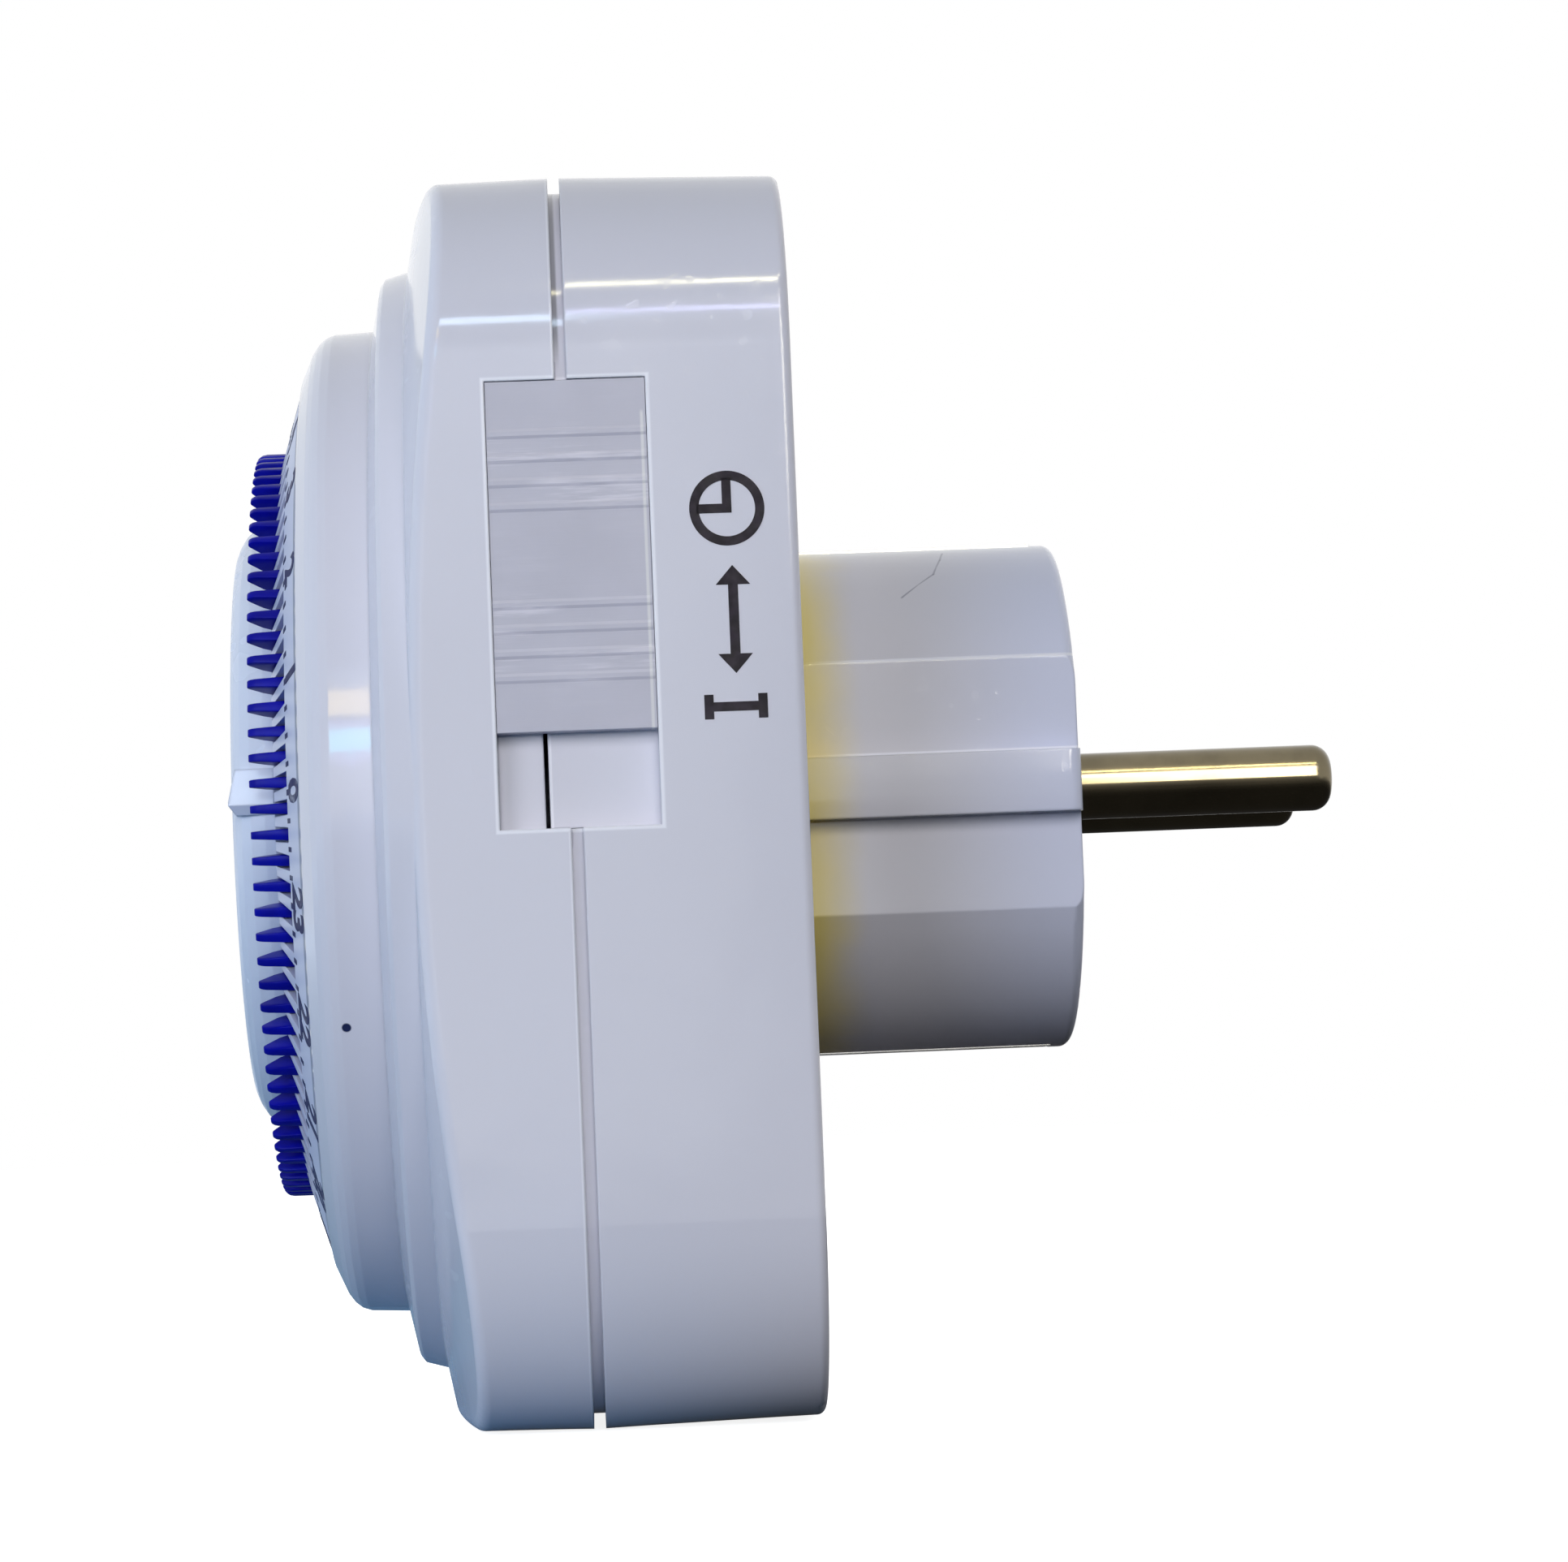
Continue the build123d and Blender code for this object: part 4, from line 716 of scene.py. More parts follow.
class TIMER_OT_dial(bpy.types.Operator):
    """Finish the dial, and print its hours and ticks"""
    bl_idname = "timer.dial"
    bl_label = "Dial"
    DUST_COLOUR = (0.09, 0.13, 0.20)
    DUST_FROM = (CONE_EDGE - 0.60 * MM, CONE_EDGE - 0.40 * MM)
    FACE_TO_Y = (CONE_EDGE_Y + 0.2 * MM, CONE_EDGE_Y + 0.4 * MM)
    TEXT_SIZE_SHARE = 1.38      # text size for digits of height 1
    DIGIT_WEIGHT = 0.10 * MM    # how much bolder than the plain face
    TICK_HALF = 0.17 * MM
    HOUR_TICK_WIDER = 1.2
    HOUR_TICK_LONGER = 0.35 * MM

    def execute(self, context):
        settings = context.scene.timer_dial
        finish = Finish("dial_plastic")
        colour = clouded(finish, settings.face, spread=0.03, scale=80.0)
        colour = specked(finish, colour, (0.05, 0.05, 0.12), scale=260.0, radius=0.06 * MM)
        # Painted shade for the gap beside the bezel.
        colour = finish.blend(self.gap_dust(finish), colour, self.DUST_COLOUR)
        finish.set(Base_Color=colour, Roughness=finish.patchy(140.0, 0.34, 0.46))
        finish.surface(finish.noise(2600.0, detail=2.0), 0.004 * MM, edge=0.08 * MM)
        paint_nodes(finish.material, "dial")

        ink = Finish("dial_ink")
        worn = ink.span(ink.noise(900.0, detail=3.0), 0.58, 0.72)
        ink.set(Base_Color=ink.blend(worn, settings.ink, shade_of(settings.face, 0.45)))
        ink.set(Roughness=ink.patchy(600.0, 0.42, 0.6), Specular_IOR_Level=0.15)
        numbers = [self.hour_number(settings, hour) for hour in range(HOURS)]
        finish_piece(joined("hour_numbers", numbers), "timer_dial", ink.material)
        finish_piece(self.ticks(settings), "timer_dial", ink.material)
        return {"FINISHED"}

    def gap_dust(self, finish):
        """How much painted shade darkens the dial's face beside the bezel, where the gap to it
        lies.
        """
        radius = finish.vector_maths("LENGTH", finish.mapped(scale=(1, 0, 1))).outputs["Value"]
        at_edge = finish.span(radius, *self.DUST_FROM, 0.0, 0.75)
        _, along, _ = finish.axes()
        on_face = finish.span(along, *self.FACE_TO_Y, 1.0, 0.0)
        return finish.times(at_edge, on_face)

    def hour_angle(self, hour):
        """Angle of the line where an hour's segments begin."""
        return FIRST_BLADE - BLADE_STEP / 2 + hour * QUARTERS * BLADE_STEP

    def hour_number(self, settings, hour):
        """One hour's number, laid on the dial with its top outwards."""
        clear_selection()
        bpy.ops.object.text_add()
        number = bpy.context.active_object
        number.name = f"hour_number_{hour:02d}"
        number.data.body = str(hour)
        number.data.size = settings.digit_height * self.TEXT_SIZE_SHARE
        number.data.align_x = "CENTER"
        number.data.align_y = "CENTER"
        number.data.resolution_u = 3
        number.data.offset = self.DIGIT_WEIGHT
        number.data.extrude = settings.print_lift
        bpy.ops.object.convert(target="MESH")
        number = bpy.context.active_object
        place_mesh(number, Matrix.Translation((0.0, settings.digit_radius, 0.0)))
        return face_outwards(lay_on_dial(number, self.hour_angle(hour)))

    def ticks(self, settings):
        """A short tick at each quarter hour, and a longer and wider one at each hour."""
        lift = settings.print_lift
        start = settings.tick_start
        marks = []
        for quarter in range(HOURS * QUARTERS):
            on_hour = quarter % QUARTERS == 0
            end = settings.tick_end + (self.HOUR_TICK_LONGER if on_hour else 0.0)
            wide = self.TICK_HALF * (self.HOUR_TICK_WIDER if on_hour else 1.0)
            corners = [(-wide, start), (wide, start), (wide, end), (-wide, end)]
            mark = thicken(outline_face(f"tick_{quarter:02d}", corners), 2 * lift)
            place_mesh(mark, Matrix.Translation((0.0, 0.0, -lift)))
            lay_on_dial(mark, self.hour_angle(0) + quarter * BLADE_STEP)
            marks.append(face_outwards(mark))
        return joined("dial_ticks", marks)


class TIMER_OT_segments(bpy.types.Operator):
    """Build the 96 blue segments, four to an hour"""
    bl_idname = "timer.segments"
    bl_label = "Segments"
    FOOT_BELOW_FACE = 0.3 * MM
    FOOT_DEPTH = 1.4 * MM

    def execute(self, context):
        settings = context.scene.timer_segments
        low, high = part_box("hour_06_segments")
        tip, tail = low.y, high.y
        foot_top = cone_y(FOOT_OUTER) + self.FOOT_BELOW_FACE
        foot_bottom = foot_top + self.FOOT_DEPTH
        # The profile runs up the blade's inner side, round its tip and down to the foot.
        profile = [
            (BLADE_INNER, tail),
            (BLADE_INNER, cone_y(BLADE_INNER) + 0.1 * MM),
            (BLADE_INNER + 0.28 * MM, cone_y(BLADE_INNER) - 0.55 * MM),
            (BLADE_OUTER - 0.66 * MM, tip + 0.24 * MM),
            (BLADE_OUTER - 0.50 * MM, tip + 0.05 * MM),
            (BLADE_OUTER - 0.36 * MM, tip),
            (BLADE_OUTER - 0.20 * MM, tip + 0.08 * MM),
            (BLADE_OUTER - 0.06 * MM, tip + 0.30 * MM),
            (BLADE_OUTER, tip + 0.62 * MM),
            (BLADE_OUTER, foot_top),
            (FOOT_OUTER, foot_top),
            (FOOT_OUTER, foot_bottom),
            (BLADE_OUTER, foot_bottom),
            (BLADE_OUTER, tail),
        ]
        blade = thicken(outline_face("segment_blade", profile), settings.thickness)
        place_mesh(blade, Matrix.Translation((0.0, 0.0, -settings.thickness / 2)))
        self.taper(blade, tip, foot_top, settings.tip_share)
        round_edges(blade, settings.edge, angle=25.0)

        finish = Finish("segment_plastic")
        tone = finish.blend(finish.span(finish.noise(260.0, detail=3.0), 0.35, 0.65),
                            shade_of(settings.plastic, 0.85), shade_of(settings.plastic, 1.2))
        finish.set(Base_Color=tone, Roughness=finish.patchy(420.0, 0.28, 0.42))
        finish.set(IOR=1.5, Specular_IOR_Level=0.12)
        finish.surface(finish.noise(2400.0, detail=2.0), 0.004 * MM)

        for hour in range(HOURS):
            name = f"hour_{hour:02d}_segments"
            blades = []
            for quarter in range(QUARTERS):
                angle = FIRST_BLADE + (hour * QUARTERS + quarter) * BLADE_STEP
                copy = twin(blade, f"blade_{hour:02d}_{quarter}")
                blades.append(place_mesh(copy, Matrix.Rotation(-angle, 4, "Y")))
            piece = joined(f"hour_{hour:02d}_blades", blades)
            finish_piece(piece, f"hour_{hour:02d}", finish.material, [name])
        bpy.data.objects.remove(blade)
        return {"FINISHED"}

    def taper(self, blade, tip, foot_top, tip_share):
        """Thins the blade evenly from its foot to its tip."""
        for point in blade.data.vertices:
            share = min(1.0, max(0.0, (foot_top - point.co.y) / (foot_top - tip)))
            point.co.z *= 1.0 - (1.0 - tip_share) * share
        blade.data.update()


# ================================================================================================
# Operators: the side
# ================================================================================================
class TIMER_OT_slide(bpy.types.Operator):
    """Build the milky override slide with its two groups of grip ribs"""
    bl_idname = "timer.slide"
    bl_label = "Override slide"
    FRONT_Y = -40.97 * MM
    REAR_Y = -30.33 * MM
    BACK_X = 39.1 * MM
    TOP_FIT = 0.07 * MM         # how far the cap fills the slot's play at its top
    GROUPS = (20.4 * MM, 9.0 * MM)
    GROUP_FADE = (2.4 * MM, 3.4 * MM)
    RIB_FOOT = 0.34 * MM        # half a rib's width at its foot and at its crest
    RIB_CREST = 0.14 * MM
    SHADING_ANGLE = 6.0         # so that the ribs' flanks keep their own shading
    PALE_RIB_Y = -30.62 * MM
    PALE_RIB_FADE = (0.05 * MM, 0.16 * MM)
    PALE_RIB_TO_Z = (23.9 * MM, 24.3 * MM)
    PALE_RIB_COLOUR = (0.72, 0.71, 0.72)
    WISP_COLOUR = (0.63, 0.61, 0.69)
    LEG_REAR_Y = -34.2 * MM
    LEG_DEPTH = 2.8 * MM
    LEG_HEIGHT = 2.0 * MM
    LEG_ROUND = 0.15 * MM
    SHOE_X = 37.4 * MM
    SHOE_THICKNESS = 1.3 * MM
    SHOE_PAST_LEG = 2.2 * MM
    SHOE_OVER_LEG = 2.0 * MM

    def execute(self, context):
        settings = context.scene.timer_slide
        low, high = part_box("override_slide")
        top, bottom = high.z + self.TOP_FIT, low.z
        body = self.body(settings, high.x, top, bottom)

        # The leg runs in through the floor of the slot to work the lever.
        leg_front = self.LEG_REAR_Y - self.LEG_DEPTH
        leg_bottom = bottom + (top - bottom) / 2 + self.LEG_HEIGHT / 2
        leg_top = leg_bottom + self.LEG_HEIGHT
        leg = block("slide_leg", (low.x, self.BACK_X + 0.2 * MM), (leg_front, self.LEG_REAR_Y),
                    (leg_bottom, leg_top))
        round_edges(leg, self.LEG_ROUND)
        shoe = block("slide_shoe", (self.SHOE_X - self.SHOE_THICKNESS, self.SHOE_X),
                     (leg_front, self.LEG_REAR_Y + self.SHOE_PAST_LEG),
                     (leg_bottom - self.SHOE_OVER_LEG, leg_top + self.SHOE_OVER_LEG))
        round_edges(shoe, self.LEG_ROUND)
        slide = joined("override_slide_cap", [body, leg, shoe])
        finish_piece(slide, "slide", self.milky(settings), ["override_slide"])
        return {"FINISHED"}

    def body(self, settings, face, top, bottom):
        """The cap in the slot. Its profile runs down the outer face from the top, rib by rib."""
        flat = face - settings.rib_height
        outline = [(self.BACK_X, top), (flat, top)]
        for middle in self.GROUPS:
            for index in range(settings.ribs):
                z = middle + ((settings.ribs - 1) / 2 - index) * settings.rib_pitch
                outline += [(flat, z + self.RIB_FOOT), (face, z + self.RIB_CREST),
                            (face, z - self.RIB_CREST), (flat, z - self.RIB_FOOT)]
        outline += [(flat, bottom), (self.BACK_X, bottom)]
        body = prism_along("slide_body", "Y", outline, self.FRONT_Y, self.REAR_Y)
        round_edges(body, settings.edge, angle=50.0, smooth=self.SHADING_ANGLE)
        return body

    def milky(self, settings):
        """Milky plastic with drawn streaks, and a painted sheen of pale streaks where the ribs are.
        """
        finish = Finish("slide_plastic")
        colour = clouded(finish, settings.plastic, spread=0.06, scale=150.0)
        drawn = finish.mapped(scale=(90, 90, 1500))
        streaks = finish.noise(1.0, detail=4.0, roughness=0.75, vector=drawn)
        broad = finish.noise(1.0, detail=1.0, vector=finish.mapped(scale=(60, 160, 420)))
        _, along, up = finish.axes()
        # Painted sheen: pale streaks where the ribs are.
        painted_sheen = finish.times(finish.span(streaks, 0.46, 0.66), finish.span(broad, 0.4, 0.6),
                             self.in_ribs(finish, up))
        colour = finish.blend(painted_sheen, colour, self.WISP_COLOUR)
        # A thin pale rib runs down beside the rear edge.
        beside = finish.span(finish.off(along, self.PALE_RIB_Y), *self.PALE_RIB_FADE, 1.0, 0.0)
        below = finish.span(up, *self.PALE_RIB_TO_Z, 1.0, 0.0)
        colour = finish.blend(finish.times(beside, below, 0.75), colour, self.PALE_RIB_COLOUR)
        finish.set(Base_Color=colour, Roughness=finish.span(streaks, 0.3, 0.7, 0.28, 0.42))
        finish.set(IOR=1.46, Specular_IOR_Level=0.4)
        finish.set(Subsurface_Weight=0.2, Subsurface_Scale=1.2 * MM)
        finish.shader.inputs["Subsurface Radius"].default_value = (1.0, 1.0, 1.1)
        finish.surface(streaks, 0.01 * MM)
        return finish.material

    def in_ribs(self, finish, up):
        """Where the two groups of ribs are, as a value up to 1."""
        bands = [finish.span(finish.off(up, middle), *self.GROUP_FADE, 1.0, 0.12)
                 for middle in self.GROUPS]
        return finish.maths("MAXIMUM", *bands)


def print_on_side(piece, lift):
    """Lays a flat print on the side face. Its own X runs along Y and its own Y up."""
    thicken(piece, 2 * lift)
    for point in piece.data.vertices:
        along, up, proud = point.co
        face = SIDE_X - (along - REAR_EDGE_Y) * math.tan(SIDE_DRAFT)
        point.co = (face + proud - lift, along, up)
    piece.data.update()
    return face_outwards(piece)


class TIMER_OT_symbols(bpy.types.Operator):
    """Print the clock, the double arrow and the on bar beside the slide"""
    bl_idname = "timer.symbols"
    bl_label = "Printed symbols"
    CLOCK_AT = (-25.2 * MM, 17.4 * MM)
    ARROW_Y = -25.0 * MM
    ARROW_Z = (6.4 * MM, 13.6 * MM)
    BAR_AT = (-25.1 * MM, 4.2 * MM)
    RING_CORNERS = 72

    def execute(self, context):
        settings = context.scene.timer_print
        ink = Finish("symbol_ink")
        worn = ink.span(ink.noise(1100.0, detail=2.0), 0.35, 0.70)
        ink.set(Base_Color=ink.blend(worn, settings.ink, shade_of(settings.ink, 2.0)))
        ink.set(Roughness=ink.patchy(800.0, 0.42, 0.6), Specular_IOR_Level=0.12)
        ink.surface(ink.noise(2200.0), 0.002 * MM)
        clock = joined("clock_symbol", self.clock(settings, *self.CLOCK_AT))
        arrow = self.arrow(settings, self.ARROW_Y, *self.ARROW_Z)
        bar = self.bar(settings, *self.BAR_AT)
        for piece in (clock, arrow, bar):
            finish_piece(piece, "housing", ink.material)
        return {"FINISHED"}

    def clock(self, settings, along, up):
        """A ring, and two hands that meet in its middle."""
        clear_selection()
        bpy.ops.mesh.primitive_circle_add(vertices=self.RING_CORNERS, radius=settings.clock_radius,
                                          fill_type="NGON", location=(along, up, 0.0))
        ring = bpy.context.active_object
        bpy.ops.object.transform_apply(location=True)
        bpy.ops.object.mode_set(mode="EDIT")
        bpy.ops.mesh.select_all(action="SELECT")
        bpy.ops.mesh.inset(thickness=settings.stroke)
        bpy.ops.mesh.delete(type="FACE")
        bpy.ops.object.mode_set(mode="OBJECT")
        half = settings.stroke / 2
        reach = settings.clock_radius - settings.stroke * 0.75
        hands = outline_face("clock_hands", [
            (along - reach, up - half),
            (along + half, up - half),
            (along + half, up + reach),
            (along - half, up + reach),
            (along - half, up + half),
            (along - reach, up + half),
        ])
        return [print_on_side(ring, settings.lift), print_on_side(hands, settings.lift)]

    def arrow(self, settings, along, bottom, top):
        """An upright arrow with a head at each end."""
        half = 0.33 * MM
        wide = 1.15 * MM
        head = 1.3 * MM
        outline = [
            (along, bottom),
            (along + wide, bottom + head),
            (along + half, bottom + head),
            (along + half, top - head),
            (along + wide, top - head),
            (along, top),
            (along - wide, top - head),
            (along - half, top - head),
            (along - half, bottom + head),
            (along - wide, bottom + head),
        ]
        return print_on_side(outline_face("slide_arrow", outline), settings.lift)

    def bar(self, settings, along, up):
        """A line across, with a serif at each end."""
        half = 0.31 * MM
        reach = 2.1 * MM
        serif = 0.82 * MM
        thick = 0.62 * MM
        outline = [
            (along - reach, up - serif),
            (along - reach + thick, up - serif),
            (along - reach + thick, up - half),
            (along + reach - thick, up - half),
            (along + reach - thick, up - serif),
            (along + reach, up - serif),
            (along + reach, up + serif),
            (along + reach - thick, up + serif),
            (along + reach - thick, up + half),
            (along - reach + thick, up + half),
            (along - reach + thick, up + serif),
            (along - reach, up + serif),
        ]
        return print_on_side(outline_face("on_bar", outline), settings.lift)


# ================================================================================================
# Operators: metal and the works inside
# ================================================================================================
class TIMER_OT_pins(bpy.types.Operator):
    """Finish the two nickel plated plug pins"""
    bl_idname = "timer.pins"
    bl_label = "Plug pins"

    def execute(self, context):
        colours = context.scene.timer_metal
        # The pin colour is painted darker than nickel, as painted shade in the pins' reflections.
        pin = metal("pin_nickel_finish", colours.pin, roughness=0.17, brush=(900, 14, 900),
                    grain=0.001 * MM, tarnish=0.8)
        paint_nodes(pin, "line_pin", "neutral_pin")
        return {"FINISHED"}


class TIMER_OT_contacts(bpy.types.Operator):
    """Finish the outlet contacts, the straps and the switch"""
    bl_idname = "timer.contacts"
    bl_label = "Contacts and straps"

    def execute(self, context):
        colours = context.scene.timer_metal
        sleeve = metal("sleeve_brass", colours.brass, roughness=0.3, brush=(700, 20, 700))
        paint_nodes(sleeve, "line_outlet_contact", "neutral_outlet_contact")
        strap = metal("strap_brass", colours.brass, roughness=0.34, brush=(40, 500, 900),
                      tarnish=0.65)
        paint_nodes(strap, "line_strap", "outlet_strap", "neutral_strap", "contact_arm",
                    "contact_terminal", "fixed_contact")
        earth = metal("earth_nickel_finish", colours.nickel, roughness=0.27, brush=(900, 25, 900))
        paint_nodes(earth, "earth_strap_top", "earth_strap_bottom")
        return {"FINISHED"}


class TIMER_OT_works(bpy.types.Operator):
    """Finish the motor, gears, lever, washer, leads and screws"""
    bl_idname = "timer.works"
    bl_label = "Works inside"
    ACETAL = (0.72, 0.70, 0.64)
    LEAD_BLUES = ((0.02, 0.05, 0.22), (0.03, 0.07, 0.30))

    def execute(self, context):
        colours = context.scene.timer_metal
        can = metal("motor_steel", colours.steel, roughness=0.36, brush=(500, 500, 500),
                    tarnish=0.8)
        paint_nodes(can, "motor_can", "motor_cap", "motor_rotor")
        arbor = metal("arbor_steel", colours.steel, roughness=0.2, brush=(900, 900, 900))
        paint_nodes(arbor, "lever_arbor", "gear_arbor")
        screw = metal("screw_zinc", colours.steel, roughness=0.3, brush=(800, 40, 800),
                      tarnish=0.7)
        paint_nodes(screw, "housing_screws")
        self.winding(colours)
        self.works_plastic()
        self.lead_cover()
        return {"FINISHED"}

    def winding(self, colours):
        finish = Finish("enamelled_winding")
        turns = finish.bands(420.0, "Y", 0.6)
        tone = finish.blend(turns, shade_of(colours.copper, 0.35), colours.copper)
        finish.set(Base_Color=tone, Metallic=0.85)
        finish.set(Roughness=finish.patchy(300.0, 0.25, 0.4))
        finish.surface(turns, 0.06 * MM)
        paint_nodes(finish.material, "motor_coil")

    def works_plastic(self):
        finish = Finish("acetal_plastic")
        colour = clouded(finish, self.ACETAL, spread=0.04, scale=150.0)
        finish.set(Base_Color=colour, Roughness=finish.patchy(240.0, 0.4, 0.55))
        finish.set(Subsurface_Weight=0.1, Subsurface_Scale=0.6 * MM)
        finish.surface(finish.noise(1900.0, detail=3.0), 0.006 * MM, edge=0.1 * MM)
        paint_nodes(finish.material, "friction_washer", "trip_lever", "motor_pinion",
                    "reduction_gear")

    def lead_cover(self):
        finish = Finish("lead_insulation_pvc")
        patches = finish.span(finish.noise(180.0), 0.35, 0.65)
        finish.set(Base_Color=finish.blend(patches, *self.LEAD_BLUES))
        finish.set(Roughness=finish.patchy(500.0, 0.4, 0.55))
        finish.surface(finish.noise(1300.0, detail=3.0), 0.01 * MM)
        paint_nodes(finish.material, "motor_leads")


# ================================================================================================
# Operator: the stage
# ================================================================================================
class TIMER_OT_stage(bpy.types.Operator):
    """Set up the camera, the pale floor and the soft lights"""
    bl_idname = "timer.stage"
    bl_label = "Stage"

    # Soft lights: name, power, elevation, azimuth, width and height, colour.
    SOFT_LIGHTS = (
        ("side_key", 4.25, 17.0, 92.0, (24.0, 20.0), (1.0, 0.985, 0.97)),
        ("front_key", 2.8, 5.0, 58.0, (26.0, 14.0), (0.93, 0.94, 1.0)),
        ("front_fill", 3.0, 6.0, 6.0, (40.0, 14.0), (0.66, 0.85, 1.0)),
        ("front_far_fill", 2.6, 15.0, -38.0, (34.0, 30.0), (1.0, 0.96, 0.92)),
        ("far_fill", 3.0, 30.0, 250.0, (40.0, 34.0), (1.0, 0.98, 0.96)),
        ("back_fill", 4.3, 15.0, 202.0, (40.0, 34.0), (1.0, 0.98, 0.95)),
    )
    # Lights that are only seen reflected, in the same terms.
    HIGHLIGHTS = (
        ("side_panel", 1.10, 8.0, 76.0, (36.0, 20.0), (0.95, 0.97, 1.0)),
        ("rear_warm_line", 1.30, 47.6, 104.0, (22.0, 1.5), (1.0, 0.93, 0.58)),
        ("rear_cool_line", 0.85, 31.8, 104.0, (22.0, 2.0), (0.62, 0.62, 1.0)),
        ("front_cool_band", 0.55, 28.4, 86.0, (10.0, 3.6), (0.62, 0.80, 1.0)),
        ("window_warm", 0.52, 23.0, 75.5, (12.0, 5.5), (1.0, 0.76, 0.30)),
        ("window_cool", 0.52, 14.6, 75.5, (11.0, 5.2), (0.18, 0.80, 1.0)),
        ("window_lilac", 0.36, 14.6, 75.5, (12.5, 9.0), (0.50, 0.42, 1.0)),
        ("pin_band", 5.7, 23.0, 105.0, (14.0, 30.0), (1.0, 0.93, 0.75)),
    )

    CAMERA_TURNS = (-0.0426, 0.0672, -0.0409)     # yaw, pitch and roll in radians
    CAMERA_TARGET = Vector((0.0, -20.404 * MM, 1.8708 * MM))
    CAMERA_DISTANCE = 361.33 * MM
    SENSOR_WIDTH = 36.0
    FLOOR_SIZE = 6.0
    FLOOR_DROP = 0.02 * MM
    FLOOR_NEAR = 0.10
    FLOOR_FAR = 0.90
    BOUNCE_Y = (-40.0 * MM, -14.0 * MM)
    BOUNCE_BEHIND = (0.002, 0.002, 0.003)
    BOUNCE_AHEAD = (0.09, 0.24, 0.42)
    SURROUND_COLOUR = (0.50, 0.78, 1.0)
    BACKDROP_COLOUR = (1.0, 1.0, 1.0)

    def execute(self, context):
        settings = context.scene.timer_stage
        context.scene.view_settings.view_transform = "Standard"
        self.camera(context, settings)
        self.floor()
        self.world(context, settings)
        for name, level, *rest in self.SOFT_LIGHTS:
            self.light(name, settings.key_light * level, *rest, mirrored=False)
        for name, level, *rest in self.HIGHLIGHTS:
            self.light(name, settings.line_light * level, *rest, lighting=False)
        return {"FINISHED"}

    def camera(self, context, settings):
        """A camera that looks at the side with the slide, from a little below its middle."""
        data = bpy.data.cameras.new("view_camera")
        data.lens = settings.lens
        data.sensor_width = self.SENSOR_WIDTH
        data.clip_start = 0.01
        camera = bpy.data.objects.new("view_camera", data)
        context.scene.collection.objects.link(camera)
        yaw, pitch, roll = self.CAMERA_TURNS
        ahead = Vector((-math.cos(pitch) * math.cos(yaw), -math.cos(pitch) * math.sin(yaw),
                        math.sin(pitch)))
        right = ahead.cross(Vector((0, 0, 1))).normalized()
        above = right.cross(ahead)
        across = right * math.cos(roll) + above * math.sin(roll)
        up = above * math.cos(roll) - right * math.sin(roll)
        place = self.CAMERA_TARGET - ahead * self.CAMERA_DISTANCE
        camera.matrix_world = Matrix((
            (across.x, up.x, -ahead.x, place.x),
            (across.y, up.y, -ahead.y, place.y),
            (across.z, up.z, -ahead.z, place.z),
            (0.0, 0.0, 0.0, 1.0),
        ))
        context.scene.camera = camera

    def floor(self):
        """A pale floor. The camera sees it as plain white, and its bounce light is tinted."""
        clear_selection()
        level = CAD_BOX[0].z - self.FLOOR_DROP
        bpy.ops.mesh.primitive_plane_add(size=self.FLOOR_SIZE, location=(0.0, 0.0, level))
        plane = bpy.context.active_object
        plane.name = "floor"
        bpy.ops.object.transform_apply(location=True)
        finish = Finish("floor_white")
        path = finish.add("ShaderNodeLightPath").outputs
        seen = finish.maths("MAXIMUM", path["Is Camera Ray"], path["Is Transmission Ray"])
        reach = finish.vector_maths("LENGTH", finish.here).outputs["Value"]
        grain = finish.span(finish.noise(30.0, detail=3.0), 0.3, 0.7, 0.78, 0.82)
        grain_colour = finish.add("ShaderNodeCombineColor")
        for channel in ("Red", "Green", "Blue"):
            finish.link(grain, grain_colour.inputs[channel])
        # Unseen, the floor throws a blue light up at the front and little at the plug.
        _, along, _ = finish.axes()
        ahead = finish.span(along, *self.BOUNCE_Y, 1.0, 0.0)
        bounce = finish.blend(ahead, self.BOUNCE_BEHIND, self.BOUNCE_AHEAD)
        tone = finish.blend(seen, bounce, grain_colour.outputs["Color"])
        finish.set(Base_Color=tone, Roughness=1.0, Specular_IOR_Level=0.0)
        # Painted shade: near the object the floor's glow is turned down, a little where the camera
        # sees it and much more where it is seen mirrored.
        glow = finish.span(reach, self.FLOOR_NEAR, self.FLOOR_FAR, 0.86, 1.0)
        shade = finish.span(reach, self.FLOOR_NEAR, self.FLOOR_FAR, 0.04, 1.0)
        strength = finish.maths("ADD", finish.times(seen, glow),
                                finish.times(path["Is Glossy Ray"], shade))
        finish.set(Emission_Color=self.BACKDROP_COLOUR, Emission_Strength=strength)
        plane.data.materials.append(finish.material)

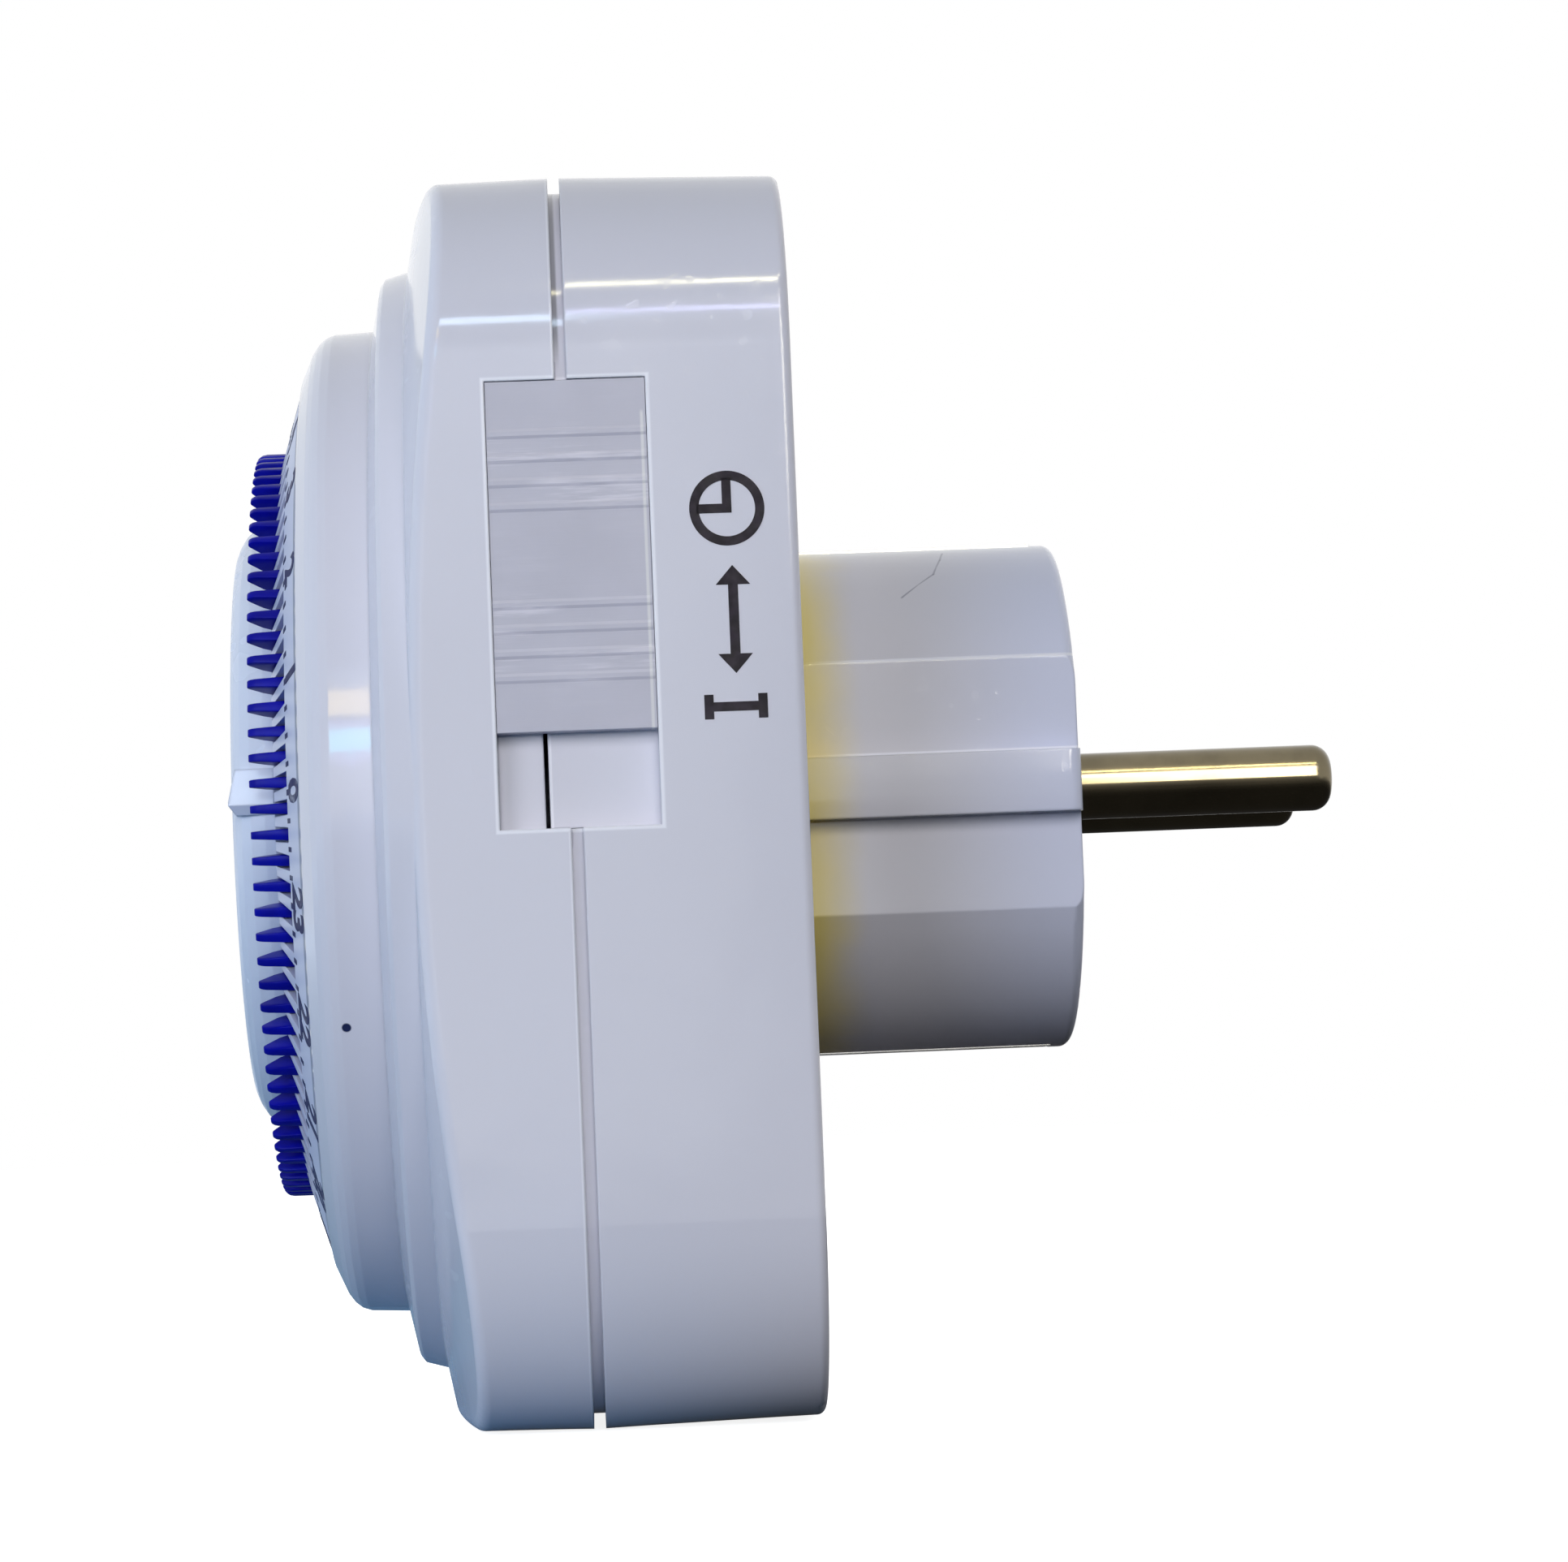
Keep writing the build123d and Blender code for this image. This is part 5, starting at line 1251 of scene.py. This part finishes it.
    def world(self, context, settings):
        """A plain backdrop where the camera or a reflection sees it, over a dim surround."""
        world = bpy.data.worlds.new("studio")
        context.scene.world = world
        world.use_nodes = True
        tree = world.node_tree
        tree.nodes.clear()
        path = tree.nodes.new("ShaderNodeLightPath").outputs
        seen = path["Is Camera Ray"]
        for kind in ("Is Glossy Ray", "Is Transmission Ray"):
            either = tree.nodes.new("ShaderNodeMath")
            either.operation = "MAXIMUM"
            tree.links.new(seen, either.inputs[0])
            tree.links.new(path[kind], either.inputs[1])
            seen = either.outputs[0]
        mix = tree.nodes.new("ShaderNodeMixShader")
        tree.links.new(seen, mix.inputs["Fac"])
        levels = ((self.SURROUND_COLOUR, settings.surround), (self.BACKDROP_COLOUR, 1.0))
        for socket, (colour, strength) in zip(mix.inputs[1:], levels):
            backdrop = tree.nodes.new("ShaderNodeBackground")
            backdrop.inputs["Color"].default_value = (*colour, 1.0)
            backdrop.inputs["Strength"].default_value = strength
            tree.links.new(backdrop.outputs[0], socket)
        output = tree.nodes.new("ShaderNodeOutputWorld")
        tree.links.new(mix.outputs[0], output.inputs["Surface"])

    def light(self, name, power, elevation, azimuth, spread, colour, mirrored=True,
              lighting=True):
        """A rectangular light aimed at the object, with its width and height as angles from there.

        Azimuth 0 is in front of the dial and 90 on the +X side. The camera doesn't see the lights.
        A soft light isn't mirrored, and a highlight's light only shows in reflections.
        """
        data = bpy.data.lights.new(name, "AREA")
        data.shape = "RECTANGLE"
        data.size, data.size_y = (2 * LIGHT_DISTANCE * math.tan(math.radians(angle) / 2)
                                  for angle in spread)
        data.energy = power
        data.color = colour
        lamp = bpy.data.objects.new(name, data)
        bpy.context.scene.collection.objects.link(lamp)
        turn, rise = math.radians(azimuth), math.radians(elevation)
        away = Vector((math.sin(turn) * math.cos(rise), -math.cos(turn) * math.cos(rise),
                       math.sin(rise)))
        lamp.location = LIGHT_TARGET + away * LIGHT_DISTANCE
        lamp.rotation_mode = "QUATERNION"
        lamp.rotation_quaternion = away.to_track_quat("Z", "Y")
        lamp.visible_camera = False
        lamp.visible_glossy = mirrored
        lamp.visible_diffuse = lighting


# ================================================================================================
# Panel, registration and main
# ================================================================================================
STEPS = (
    TIMER_OT_covers,
    TIMER_OT_socket_insert,
    TIMER_OT_dial,
    TIMER_OT_segments,
    TIMER_OT_slide,
    TIMER_OT_symbols,
    TIMER_OT_pins,
    TIMER_OT_contacts,
    TIMER_OT_works,
    TIMER_OT_stage,
)
SETTINGS = {
    "timer_housing": HousingSettings,
    "timer_insert": InsertSettings,
    "timer_dial": DialSettings,
    "timer_segments": SegmentSettings,
    "timer_slide": SlideSettings,
    "timer_print": PrintSettings,
    "timer_metal": MetalSettings,
    "timer_stage": StageSettings,
}


class TIMER_PT_panel(bpy.types.Panel):
    """Lists the settings and the steps"""
    bl_idname = "TIMER_PT_panel"
    bl_label = "Timer Switch"
    bl_space_type = "VIEW_3D"
    bl_region_type = "UI"
    bl_category = "Timer Switch"

    def draw(self, context):
        for attribute, group in SETTINGS.items():
            box = self.layout.box()
            box.label(text=group.__doc__)
            for setting in group.__annotations__:
                box.prop(getattr(context.scene, attribute), setting)
        for step in STEPS:
            self.layout.operator(step.bl_idname, text=step.bl_label)


def register():
    for group in SETTINGS.values():
        bpy.utils.register_class(group)
    for attribute, group in SETTINGS.items():
        setattr(bpy.types.Scene, attribute, PointerProperty(type=group))
    for step in STEPS:
        bpy.utils.register_class(step)
    bpy.utils.register_class(TIMER_PT_panel)


def unregister():
    bpy.utils.unregister_class(TIMER_PT_panel)
    for step in reversed(STEPS):
        bpy.utils.unregister_class(step)
    for attribute in SETTINGS:
        delattr(bpy.types.Scene, attribute)
    for group in reversed(list(SETTINGS.values())):
        bpy.utils.unregister_class(group)


def main():
    register()
    for step in STEPS:
        family, name = step.bl_idname.split(".")
        if getattr(getattr(bpy.ops, family), name)() != {"FINISHED"}:
            raise RuntimeError(f"{step.bl_label} did not finish")
    clear_selection()


if __name__ == "__main__":
    main()
